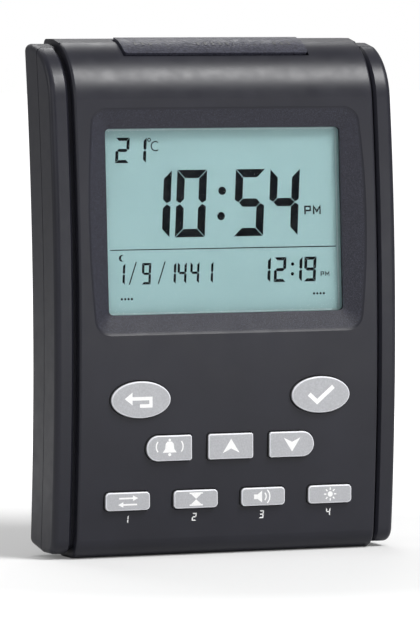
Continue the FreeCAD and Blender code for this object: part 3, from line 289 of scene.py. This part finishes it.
def bar_material():
    """Leather-like grain of the press bar, painted paler than the case for the light on its top,
    with painted shade in the creases of the grain.
    """
    finish = Finish("bar_plastic", CASE, 0.42, Specular_IOR_Level=CASE_SHEEN)
    pebbles = finish.pebbles(scale=1900)
    crease_shade = finish.spread(pebbles, 0.15, 0.75, 0.0, 1.0)
    # Painted light and shade: the tops of the grain are lighter and the creases darker than the
    # case, for how light falls on the bar.
    finish.feed("Base Color", finish.blend(crease_shade, shade(CASE, 3.0), shade(CASE, 1.2)))
    finish.wander(scale=500, detail=3, smooth=0.34, rough=0.5)
    raised = finish.spread(pebbles, 0.1, 0.8, 1.0, 0.0)
    finish.bump(raised, strength=0.5, distance=0.09 * MM)
    return finish.material


KEY_PAINT = (0.38, 0.385, 0.405)
# Painted highlight of the rim round each key face and painted shade of the key flanks, as
# multiples of the paint colour
KEY_RIM_HIGHLIGHT = 1.9
KEY_FLANK_SHADE = 0.25


def key_material():
    """Silver-grey paint, with a painted highlight as a brighter rim round each face and painted
    shade on the dark flanks.
    """
    finish = Finish("key_paint", KEY_PAINT, 0.34)
    flakes = finish.patches(scale=2600, detail=2)
    face = finish.blend(flakes, shade(KEY_PAINT, 0.92), shade(KEY_PAINT, 1.1))
    facing = finish.facing()
    # Painted light: a lighter rim where the face turns away stands in for its highlight, and
    # darker flanks stand in for the shade round each key.
    rim = finish.spread(facing, 0.93, 0.995, 1.0, 0.0)
    flank_shade = finish.spread(facing, 0.05, 0.45, 1.0, 0.0)
    face_with_rim_highlight = finish.blend(rim, face, shade(KEY_PAINT, KEY_RIM_HIGHLIGHT))
    finish.feed("Base Color", finish.blend(flank_shade, face_with_rim_highlight, shade(KEY_PAINT, KEY_FLANK_SHADE)))
    finish.wander(scale=400, detail=3, smooth=0.3, rough=0.4)
    finish.bump(finish.noise(4200, 2), strength=0.1, distance=0.03 * MM)
    return finish.material


def rubbery(name, colour):
    return moulded(name, colour, roughness=0.62, grain_scale=2600, grain=0.2)


def window_material():
    """Clear moulded lens with faint unevenness in its gloss."""
    finish = Finish("window_clear", (0.97, 1.0, 1.0), 0.02, IOR=1.05, Transmission_Weight=1.0)
    finish.wander(scale=120, detail=2, smooth=0.01, rough=0.03, low=0.4)
    finish.bump(finish.noise(90, 1), strength=0.02, distance=0.02 * MM)
    return finish.material


LCD = (0.335, 0.49, 0.50)


def lcd_material():
    """Grey-green reflective polariser of the display."""
    finish = Finish("lcd_field", LCD, 0.5, Specular_IOR_Level=0.2)
    wash = finish.patches(scale=25, detail=2)
    finish.feed("Base Color", finish.blend(wash, shade(LCD, 0.97), shade(LCD, 1.04)))
    finish.wander(scale=300, detail=2, smooth=0.45, rough=0.55)
    finish.bump(finish.noise(6000, 1), strength=0.05, distance=0.01 * MM)
    return finish.material


def ink_material(name, colour, roughness, **fixed):
    """Printed or driven mark, or a smooth coat, with a slightly mottled cover."""
    finish = Finish(name, colour, roughness, **fixed)
    mottle = finish.patches(scale=1800, detail=2, low=0.3)
    finish.feed("Base Color", finish.blend(mottle, shade(colour, 0.92), colour))
    unevenness = 0.06
    finish.wander(900, 2, roughness - unevenness, roughness + unevenness)
    return finish.material


def metal_material(name, colour, roughness):
    finish = Finish(name, colour, roughness, Metallic=1.0)
    streaks = finish.noise(900, 4)
    finish.feed("Base Color", finish.blend(finish.spread(streaks, 0.3, 0.7, 0, 1),
                                           shade(colour, 0.85), colour))
    finish.feed("Roughness", finish.spread(streaks, 0.3, 0.7, roughness - 0.06, roughness + 0.1))
    finish.bump(streaks, strength=0.08, distance=0.03 * MM)
    return finish.material


BOARD_GREEN = (0.012, 0.11, 0.035)


def board_material():
    """Green solder mask with tracks that show lighter through it, about 2 mm apart."""
    finish = Finish("board_mask", BOARD_GREEN, 0.38)
    lines = finish.math("PINGPONG", finish.math("MULTIPLY", finish.axes()["Z"], 1 / MM), 1.0)
    wander = finish.math("ADD", lines, finish.math("MULTIPLY", finish.noise(70, 1), 0.6))
    tracks = finish.spread(wander, 0.85, 0.95, 0.0, 1.0)
    finish.feed("Base Color", finish.blend(tracks, BOARD_GREEN, shade(BOARD_GREEN, 2.1)))
    finish.wander(scale=300, detail=4.0, smooth=0.32, rough=0.45)
    finish.bump(tracks, strength=0.3, distance=0.03 * MM)
    return finish.material


CELL_BAND_STARTS = 16 * MM


def cell_material():
    """Printed wrap of a plain cell, dark with a brass-coloured band at each end."""
    finish = Finish("cell_wrap", (0.02, 0.045, 0.16), 0.3, Metallic=0.25)
    from_middle = finish.math("ABSOLUTE", finish.axes()["X"])
    band = finish.math("GREATER_THAN", from_middle, CELL_BAND_STARTS)
    mottle = finish.patches(scale=300, low=0.3)
    wrap = finish.blend(mottle, (0.018, 0.04, 0.15), (0.024, 0.055, 0.19))
    finish.feed("Base Color", finish.blend(band, wrap, (0.42, 0.3, 0.12)))
    finish.wander(scale=500, detail=4.0, smooth=0.24, rough=0.36)
    finish.bump(finish.noise(800), strength=0.05, distance=0.04 * MM)
    return finish.material


def dress_nodes():
    case = moulded("case_plastic", CASE, CASE_ROUGHNESS, Specular_IOR_Level=CASE_SHEEN)
    dark = moulded("dark_plastic", (0.02, 0.02, 0.022), 0.5)
    white = moulded("white_plastic", (0.72, 0.72, 0.7), 0.5)
    steel = metal_material("steel", (0.58, 0.58, 0.57), 0.3)
    silicone = rubbery("silicone", (0.2, 0.2, 0.21))
    board = board_material()
    resin = ink_material("resin", (0.008, 0.008, 0.008), 0.25)
    finishes = {
        "front_panel": panel_material(),
        "front_case": case,
        "rear_cover": case,
        "battery_door": case,
        "snooze_bar": bar_material(),
        "display_window": window_material(),
        "lcd_glass": lcd_material(),
        "lcd_holder": dark,
        "light_guide": white,
        "light_leds": white,
        "contact_strips": silicone,
        "main_board": board,
        "key_board": board,
        "clock_chip": resin,
        "thermistor": resin,
        "crystal": steel,
        "capacitors": ink_material("capacitor_sleeve", (0.02, 0.03, 0.09), 0.35),
        "snooze_switch": dark,
        "board_link": white,
        "key_mat": silicone,
        "board_screws": steel,
        "key_board_screws": steel,
        "case_screws": metal_material("dark_steel", (0.09, 0.09, 0.095), 0.38),
        "speaker_frame": dark,
        "speaker_cone": ink_material("speaker_film", (0.4, 0.34, 0.24), 0.3),
        "speaker_magnet": steel,
        "battery_cells": cell_material(),
        "positive_contacts": steel,
        "negative_contacts": steel,
        "foot_pads": rubbery("pad_rubber", (0.02, 0.02, 0.02)),
    }
    keys = key_material()
    for key in KEYS:
        finishes[key] = keys
    for name, material in finishes.items():
        mesh = NODES[name].data
        mesh.materials.clear()
        mesh.materials.append(material)


# Thin printed and driven marks

def outline_piece(name, polygons, spot, material, body, thick=PRINT_THICK):
    """Plates with the given outlines; spot turns a flat point and a depth into a place."""
    mesh = bpy.data.meshes.new(name)
    build = bmesh.new()
    for polygon in polygons:
        area = sum(a[0] * b[1] - b[0] * a[1]
                   for a, b in zip(polygon, polygon[1:] + polygon[:1]))
        points = polygon if area > 0 else polygon[::-1]
        front = [build.verts.new(spot(p, 0.0)) for p in points]
        back = [build.verts.new(spot(p, thick)) for p in points]
        build.faces.new(front)
        build.faces.new(back[::-1])
        count = len(points)
        for index in range(count):
            after = (index + 1) % count
            build.faces.new((front[after], front[index], back[index], back[after]))
    bmesh.ops.recalc_face_normals(build, faces=build.faces)
    build.to_mesh(mesh)
    build.free()
    mesh.materials.append(material)
    piece = bpy.data.objects.new(name, mesh)
    bpy.context.scene.collection.objects.link(piece)
    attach(piece, body)


def on_glass(point, depth):
    """A point of the display, in millimetres from its middle, just in front of the cell."""
    lift = PRINT_THICK + PRINT_LIFT - depth
    return GLASS_FACE + ACROSS * (point[0] * MM) + UP_GLASS * (point[1] * MM) - INTO_GLASS * lift


SEGMENTS = {
    "0": "abcdef", "1": "bc", "2": "abged", "3": "abgcd", "4": "fgbc", "5": "afgcd",
    "6": "afgedc", "7": "abc", "8": "abcdefg", "9": "abfgcd",
}
SLANT = math.tan(math.radians(3.7))
POINT_TRIM = 0.6
SHARPEST_MITRE = 0.45


def segment_outline(letter, width, tall, stroke, gap):
    """Corners of one mitred bar of a seven-segment figure, from its lower left corner."""
    half = stroke / 2
    left, right = half, width - half
    low, middle, high = half, tall / 2, tall - half
    ends = {
        "a": ((left, high), (right, high)), "d": ((left, low), (right, low)),
        "g": ((left, middle), (right, middle)),
        "f": ((left, middle), (left, high)), "b": ((right, middle), (right, high)),
        "e": ((left, low), (left, middle)), "c": ((right, low), (right, middle)),
    }[letter]
    (x0, y0), (x1, y1) = ends
    if letter in "adg":
        x0, x1 = x0 + gap, x1 - gap
        if letter == "a":
            return [(x0 - half, y0 + half), (x1 + half, y0 + half), (x1 - half, y0 - half),
                    (x0 + half, y0 - half)]
        if letter == "d":
            return [(x0 - half, y0 - half), (x1 + half, y0 - half), (x1 - half, y0 + half),
                    (x0 + half, y0 + half)]
        return [(x0, y0), (x0 + half, y0 + half), (x1 - half, y0 + half), (x1, y0),
                (x1 - half, y0 - half), (x0 + half, y0 - half)]
    y0, y1 = y0 + gap, y1 - gap
    outer = -half if letter in "ef" else half
    if letter in "fb":
        low_end = [(x0 + outer, y0 + half * POINT_TRIM), (x0, y0), (x0 - outer, y0 + half)]
        high_end = [(x0 - outer, y1 - half), (x0 + outer, y1 + half)]
    else:
        low_end = [(x0 + outer, y0 - half), (x0 - outer, y0 + half)]
        high_end = [(x0 - outer, y1 - half), (x0, y1), (x0 + outer, y1 - half * POINT_TRIM)]
    return low_end + high_end


def figures(places, low, width, tall, stroke, gap):
    """Outlines of slanted seven-segment figures; places pairs each with its left edge."""
    found = []
    for sign, left in places:
        for letter in SEGMENTS[sign]:
            corners = segment_outline(letter, width, tall, stroke, gap)
            found.append([(left + x + (y - tall / 2) * SLANT, low + y) for x, y in corners])
    return found


def disc(x, y, radius, steps=24):
    return [(x + radius * math.cos(2 * math.pi * k / steps),
             y + radius * math.sin(2 * math.pi * k / steps)) for k in range(steps)]


def bar(x0, y0, x1, y1, wide):
    """Straight stroke between two points."""
    length = math.hypot(x1 - x0, y1 - y0)
    nx, ny = -(y1 - y0) / length * wide / 2, (x1 - x0) / length * wide / 2
    return [(x0 + nx, y0 + ny), (x1 + nx, y1 + ny), (x1 - nx, y1 - ny), (x0 - nx, y0 - ny)]


def ring_part(x, y, outer, inner, start, stop, steps=16):
    """Part of a ring between two angles in degrees."""
    angles = [math.radians(start + (stop - start) * k / steps) for k in range(steps + 1)]
    return ([(x + outer * math.cos(a), y + outer * math.sin(a)) for a in angles]
            + [(x + inner * math.cos(a), y + inner * math.sin(a)) for a in reversed(angles)])


def ribbon(points, wide):
    """Stroke of one width along a bent line, mitred at its bends."""
    half = wide / 2
    sides = ([], [])
    for index, (x, y) in enumerate(points):
        before = points[max(index - 1, 0)]
        after = points[min(index + 1, len(points) - 1)]
        normals = []
        for (x0, y0), (x1, y1) in ((before, (x, y)), ((x, y), after)):
            length = math.hypot(x1 - x0, y1 - y0)
            if length:
                normals.append((-(y1 - y0) / length, (x1 - x0) / length))
        nx = sum(n[0] for n in normals)
        ny = sum(n[1] for n in normals)
        size = math.hypot(nx, ny)
        reach = half / max(SHARPEST_MITRE, size / len(normals))
        for side, sign in zip(sides, (1, -1)):
            side.append((x + sign * nx / size * reach, y + sign * ny / size * reach))
    return sides[0] + sides[1][::-1]


def crescent(x, y, radius, bite, steps=14):
    """Thin moon, open to the right; bite is how far the inner circle is moved."""
    first_horn, sweep_outer = 60, 240
    outer = [math.radians(first_horn + sweep_outer * k / steps) for k in range(steps + 1)]
    rim = [(x + radius * math.cos(a), y + radius * math.sin(a)) for a in outer]
    tip = rim[0]
    inner_x = x + bite
    inner_r = math.hypot(tip[0] - inner_x, tip[1] - y)
    start = math.atan2(tip[1] - y, tip[0] - inner_x)
    sweep = 2 * math.pi - 2 * start
    inner = [start + sweep * k / steps for k in range(1, steps)]
    hollow = [(inner_x + inner_r * math.cos(a), y + inner_r * math.sin(a))
              for a in reversed(inner)]
    return rim + hollow


def half_day_mark(x, y, tall, stroke):
    """The PM mark of a clock display, as two bent strokes."""
    wide = tall * 0.8
    step = wide * 1.5
    edge = stroke / 2 / wide
    p_line = [(0, 0), (0, 1), (0.9, 1), (0.9, 0.48), (edge, 0.48)]
    m_line = [(0, 0), (0, 1), (0.55, 0.35), (1.1, 1), (1.1, 0)]
    found = []
    for left, line in ((x, p_line), (x + step, m_line)):
        found.append(ribbon([(left + px * wide, y + py * tall) for px, py in line], stroke))
    return found


# Display, laid out in millimetres from its middle

TIME_FIGURES = {"width": 8.1, "tall": 17.0, "stroke": 2.1, "gap": 0.12}
TIME_LOW = -4.1
TEMPERATURE_FIGURES = {"width": 3.7, "tall": 6.4, "stroke": 0.8, "gap": 0.06}
TEMPERATURE_LEFT = -28.4
TEMPERATURE_PITCH = 4.6
TEMPERATURE_LOW = 14.8
DATE_FIGURES = {"width": 2.45, "tall": 5.4, "stroke": 0.62, "gap": 0.05}
DATE_LOW = -15.8
DATE_SLASH_RUN = 2.0
DATE_SLASH_RISE = 0.3
SECOND_FIGURES = {"width": 3.3, "tall": 6.3, "stroke": 0.8, "gap": 0.05}
SECOND_LOW = -15.9
THIN_LINE = 0.3
RULE_HEIGHT = -7.05
RULE_THICK = 0.24
# Place and width of the painted sheen round the display field
EDGE_SHEEN_HALF_WIDTH = 31.7
EDGE_SHEEN_HALF_HEIGHT = 23.1
EDGE_SHEEN_THICK = 0.28
PIP_PITCH = 0.9
PIP_RADIUS = 0.3
PIP_COUNT = 4


def main_time():
    colon_radius = 1.05
    places = (("1", -21.95), ("0", -12.35), ("5", 3.6), ("4", 13.1))
    colon = [disc(0.25, 7.5, colon_radius), disc(-0.2, 1.1, colon_radius)]
    return figures(places, TIME_LOW, **TIME_FIGURES) + colon


def temperature():
    places = (("2", TEMPERATURE_LEFT), ("1", TEMPERATURE_LEFT + TEMPERATURE_PITCH))
    degree = ring_part(-19.3, 20.6, 0.5, 0.27, 0, 359)
    celsius = ring_part(-17.6, 19.0, 1.3, 1.02, 50, 310)
    return figures(places, TEMPERATURE_LOW, **TEMPERATURE_FIGURES) + [degree, celsius]


def date():
    right_edges = (("1", -26.6), ("9", -19.6), ("1", -12.8), ("4", -9.95), ("4", -6.5),
                   ("1", -2.7))
    places = [(sign, right - DATE_FIGURES["width"]) for sign, right in right_edges]
    found = figures(places, DATE_LOW, **DATE_FIGURES)
    top = DATE_LOW + DATE_FIGURES["tall"] + DATE_SLASH_RISE
    for left in (-25.5, -17.7):
        found.append(bar(left, DATE_LOW, left + DATE_SLASH_RUN, top, THIN_LINE))
    return found


def second_time():
    colon_radius = 0.45
    places = (("1", 9.75), ("2", 14.0), ("1", 18.45), ("9", 22.3))
    colon = [disc(19.15, -11.4, colon_radius), disc(19.05, -13.9, colon_radius)]
    return figures(places, SECOND_LOW, **SECOND_FIGURES) + colon


def small_marks():
    """Rows of dots where the display has small words, and the moon over the date."""
    found = []
    for left, height in ((-27.6, -19.4), (24.9, -19.0)):
        for k in range(PIP_COUNT):
            found.append(disc(left + PIP_PITCH * k, height, PIP_RADIUS, 12))
    found.append(crescent(-27.3, -9.1, 0.85, 0.45))
    return found


def make_display():
    ink = ink_material("lcd_ink", (0.004, 0.005, 0.007), 0.6, Specular_IOR_Level=0.05)
    beside_time = half_day_mark(22.9, 1.2, tall=2.0, stroke=0.4)
    beside_second = half_day_mark(26.95, -14.6, tall=1.05, stroke=0.22)
    driven = (
        ("main_time", main_time()),
        ("temperature", temperature()),
        ("half_day_marks", beside_time + beside_second),
        ("display_rule", [bar(-30.4, RULE_HEIGHT, 31.2, RULE_HEIGHT, RULE_THICK)]),
        ("date", date()),
        ("second_time", second_time()),
        ("small_marks", small_marks()),
    )
    for name, outlines in driven:
        outline_piece(name, outlines, on_glass, ink, "case")
    # Painted sheen: a thin lighter frame round the display field stands in for the light caught at
    # the edge of the cell.
    painted_edge_sheen = ink_material("lcd_edge_sheen", (0.5, 0.62, 0.63), 0.4)
    a, b, t = EDGE_SHEEN_HALF_WIDTH, EDGE_SHEEN_HALF_HEIGHT, EDGE_SHEEN_THICK
    rim = [bar(-a, b, a, b, t), bar(-a, -b, a, -b, t), bar(-a, -b, -a, b, t), bar(a, -b, a, b, t)]
    outline_piece("display_edge_sheen", rim, on_glass, painted_edge_sheen, "case")


# Marks on the keys and numerals under the lower row

NUMERALS = {"width": 1.2, "tall": 2.0, "stroke": 0.3, "gap": 0.02}
NUMERAL_DROP = 2.5


def key_marks():
    """Generic white pictures on the keys, in millimetres from each key's middle."""
    back_arrow = [[(-4.5, 0.3), (-2.4, 1.9), (-2.4, 0.75), (3.0, 0.75), (3.0, -2.0), (-0.4, -2.0),
                   (-0.4, -1.1), (2.1, -1.1), (2.1, -0.15), (-2.4, -0.15), (-2.4, -1.3)]]
    tick = [ribbon([(-3.3, 0.2), (-1.1, -1.8), (3.4, 2.0)], 1.1)]
    bell = [
        [(-1.9, -1.1), (1.9, -1.1), (1.25, -0.2), (1.1, 1.1), (0.6, 1.7), (-0.6, 1.7),
         (-1.1, 1.1), (-1.25, -0.2)],
        disc(0, -1.6, 0.42, 12), disc(0, 2.08, 0.35, 12),
        ring_part(-1.6, 0.4, 2.2, 1.85, 140, 220), ring_part(1.6, 0.4, 2.2, 1.85, -40, 40),
    ]
    up = [[(0, 1.9), (2.3, -1.7), (0, -0.6), (-2.3, -1.7)]]
    down = [[(x, -z) for x, z in part] for part in up]
    swap = [
        bar(-2.4, 0.8, 1.3, 0.8, 0.42), [(2.7, 0.8), (1.3, 1.5), (1.3, 0.1)],
        bar(2.4, -0.8, -1.3, -0.8, 0.42), [(-2.7, -0.8), (-1.3, -0.1), (-1.3, -1.5)],
    ]
    glass = [
        [(-1.4, 1.3), (1.4, 1.3), (0, 0.05)], [(-1.4, -1.3), (1.4, -1.3), (0, -0.05)],
        bar(-1.8, 1.5, 1.8, 1.5, 0.36), bar(-1.8, -1.5, 1.8, -1.5, 0.36),
    ]
    speaker = [
        [(-2.6, 0.6), (-1.6, 0.6), (-0.4, 1.5), (-0.4, -1.5), (-1.6, -0.6), (-2.6, -0.6)],
        ring_part(-0.6, 0, 1.5, 1.15, -45, 45), ring_part(-0.6, 0, 2.5, 2.15, -45, 45),
    ]
    ray_count, ray_start, ray_end, ray_wide = 8, 1.05, 1.7, 0.34
    sun = [disc(0, 0, 0.7, 16)]
    for k in range(ray_count):
        a = math.radians(360 / ray_count * k)
        sun.append(bar(ray_start * math.cos(a), ray_start * math.sin(a),
                       ray_end * math.cos(a), ray_end * math.sin(a), ray_wide))
    return {
        "exit_key": back_arrow, "set_key": tick, "alarm_key": bell, "up_key": up,
        "down_key": down, "convert_key": swap, "delay_key": glass, "sound_key": speaker,
        "call_key": sun,
    }


def on_panel(point, depth):
    """A point just in front of the bowed panel, in millimetres across and up."""
    height = point[1] * MM
    fall = height - APEX_HEIGHT
    surface = BOW_RADIUS - math.sqrt(BOW_RADIUS ** 2 - fall ** 2)
    return Vector((point[0] * MM, FRONT_Y + surface - PRINT_LIFT + depth, height))


def make_key_marks():
    white = ink_material("white_print", (0.86, 0.86, 0.86), 0.45)
    for key, polygons in key_marks().items():
        low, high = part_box(key)
        middle = (low + high) / 2

        def on_key(point, depth, middle=middle, low=low):
            return Vector((middle.x + point[0] * MM, low.y - KEY_PRINT_LIFT + depth,
                           middle.z + point[1] * MM))

        outline_piece(key + "_mark", polygons, on_key, white, key)
    numerals = []
    for number, key in enumerate(NUMBERED_KEYS, 1):
        low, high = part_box(key)
        middle = (low + high) / 2 / MM
        places = ((str(number), middle.x - NUMERALS["width"] / 2),)
        numerals += figures(places, low.z / MM - NUMERAL_DROP, **NUMERALS)
    outline_piece("panel_numerals", numerals, on_panel, white, "case")


# Raised marks on the press bar: an arc round an axis inside the clock, angles from the top

BAR_AXIS_BEHIND = 20.7 * MM
BAR_AXIS_HEIGHT = 113.48 * MM
BAR_RADIUS = 17.7 * MM
RIB_RAISED = 0.12 * MM
RIB_THICK = 0.25 * MM
RIB_HALF_WIDTH = 0.35
RIB_PITCH = 2.0
RIB_FRONT = 30.5
RIB_BACK = 25.5
RIB_GROUPS = ((-19, 3), (0, 5), (19, 3))


def on_bar(point, depth):
    """A point on the bar, in millimetres across and degrees from the top."""
    angle = math.radians(point[1])
    reach = BAR_RADIUS + RIB_RAISED - depth
    return Vector((point[0] * MM, FRONT_Y + BAR_AXIS_BEHIND - reach * math.sin(angle),
                   BAR_AXIS_HEIGHT + reach * math.cos(angle)))


def make_bar_marks():
    # Painted shade: the raised marks are coloured darker than the bar, standing in for the shading
    # of their relief.
    material = moulded("bar_mark", shade(CASE, 0.8), 0.3)
    marks = []
    for middle, count in RIB_GROUPS:
        for k in range(count):
            x = middle + (k - (count - 1) / 2) * RIB_PITCH
            left, right = x - RIB_HALF_WIDTH, x + RIB_HALF_WIDTH
            marks.append([(left, RIB_FRONT), (right, RIB_FRONT), (right, RIB_BACK),
                          (left, RIB_BACK)])
    outline_piece("bar_ribs", marks, on_bar, material, "snooze_bar", RIB_THICK)


# Floor and light. The floor glows more with distance, so that it turns white far from the clock

FLOOR_HALF = 6.0
FLOOR_GREY = 0.68
FLOOR_GLOW = 0.12
NEAR_FLOOR = 0.1
FAR_FLOOR = 0.4
WORLD_STRENGTH = 0.3


def seen_directly(nodes, links):
    """1 where the camera sees the surface, also through glass; 0 in reflections and for light."""
    path = nodes.new("ShaderNodeLightPath")
    either = nodes.new("ShaderNodeMath")
    either.operation = "MAXIMUM"
    links.new(path.outputs["Is Camera Ray"], either.inputs[0])
    links.new(path.outputs["Is Transmission Ray"], either.inputs[1])
    direct = nodes.new("ShaderNodeMath")
    direct.operation = "LESS_THAN"
    direct.inputs[1].default_value = 0.5
    links.new(path.outputs["Diffuse Depth"], direct.inputs[0])
    both = nodes.new("ShaderNodeMath")
    both.operation = "MULTIPLY"
    links.new(either.outputs[0], both.inputs[0])
    links.new(direct.outputs[0], both.inputs[1])
    return both.outputs[0]


def make_floor():
    mesh = bpy.data.meshes.new("floor")
    half = FLOOR_HALF
    corners = [(-half, -half, 0), (half, -half, 0), (half, half, 0), (-half, half, 0)]
    mesh.from_pydata(corners, [], [(0, 1, 2, 3)])
    floor = bpy.data.objects.new("floor", mesh)
    bpy.context.scene.collection.objects.link(floor)
    material = bpy.data.materials.new("floor_white")
    material.use_nodes = True
    nodes = material.node_tree.nodes
    links = material.node_tree.links
    nodes.clear()
    output = nodes.new("ShaderNodeOutputMaterial")
    diffuse = nodes.new("ShaderNodeBsdfDiffuse")
    diffuse.inputs["Color"].default_value = (FLOOR_GREY, FLOOR_GREY, FLOOR_GREY, 1)
    glow = nodes.new("ShaderNodeEmission")
    glow.inputs["Color"].default_value = (1, 1, 1, 1)
    reach = nodes.new("ShaderNodeVectorMath")
    reach.operation = "LENGTH"
    links.new(nodes.new("ShaderNodeTexCoord").outputs["Object"], reach.inputs[0])
    far = nodes.new("ShaderNodeMapRange")
    links.new(reach.outputs["Value"], far.inputs["Value"])
    for field, number in (("From Min", NEAR_FLOOR), ("From Max", FAR_FLOOR),
                          ("To Min", FLOOR_GLOW), ("To Max", 1.0)):
        far.inputs[field].default_value = number
    seen = nodes.new("ShaderNodeMath")
    seen.operation = "MULTIPLY"
    links.new(seen_directly(nodes, links), seen.inputs[0])
    links.new(far.outputs["Result"], seen.inputs[1])
    links.new(seen.outputs[0], glow.inputs["Strength"])
    both = nodes.new("ShaderNodeAddShader")
    links.new(diffuse.outputs[0], both.inputs[0])
    links.new(glow.outputs[0], both.inputs[1])
    links.new(both.outputs[0], output.inputs["Surface"])
    mesh.materials.append(material)


def make_world():
    """White where the camera sees it, and WORLD_STRENGTH as light and in reflections."""
    world = bpy.data.worlds.new("studio")
    world.use_nodes = True
    bpy.context.scene.world = world
    nodes = world.node_tree.nodes
    links = world.node_tree.links
    background = nodes["Background"]
    background.inputs["Color"].default_value = (1, 1, 1, 1)
    level = nodes.new("ShaderNodeMapRange")
    level.inputs["To Min"].default_value = WORLD_STRENGTH
    level.inputs["To Max"].default_value = 1.0
    links.new(seen_directly(nodes, links), level.inputs["Value"])
    links.new(level.outputs["Result"], background.inputs["Strength"])


# Each light has a name, a place in metres, the sizes of its panel in metres and its watts

LIT_POINT = (0, 0, 0.065)
LIGHTS = (
    ("key_light", (0.42, -0.6, 0.95), (0.4, 0.4), 13),
    ("side_light", (-1.0, 0.15, 0.45), (0.16, 0.6), 1.6),
    ("fill_light", (-0.8, -0.9, 0.5), (0.6, 0.6), 2.2),
    ("front_light", (0.46, -1.1, 0.12), (0.5, 0.3), 1.7),
    ("back_light", (0.1, 0.8, 0.9), (0.8, 0.4), 5),
)


def make_lights():
    for name, place, size, power in LIGHTS:
        data = bpy.data.lights.new(name, "AREA")
        data.shape = "RECTANGLE"
        data.size, data.size_y = size
        data.energy = power
        light = bpy.data.objects.new(name, data)
        bpy.context.scene.collection.objects.link(light)
        light.location = place
        light.rotation_mode = "QUATERNION"
        light.rotation_quaternion = (Vector(LIT_POINT) - Vector(place)).to_track_quat("-Z", "Y")


make_camera()
dress_nodes()
make_display()
make_key_marks()
make_bar_marks()
make_floor()
make_world()
make_lights()
bpy.context.scene.view_settings.view_transform = "Standard"
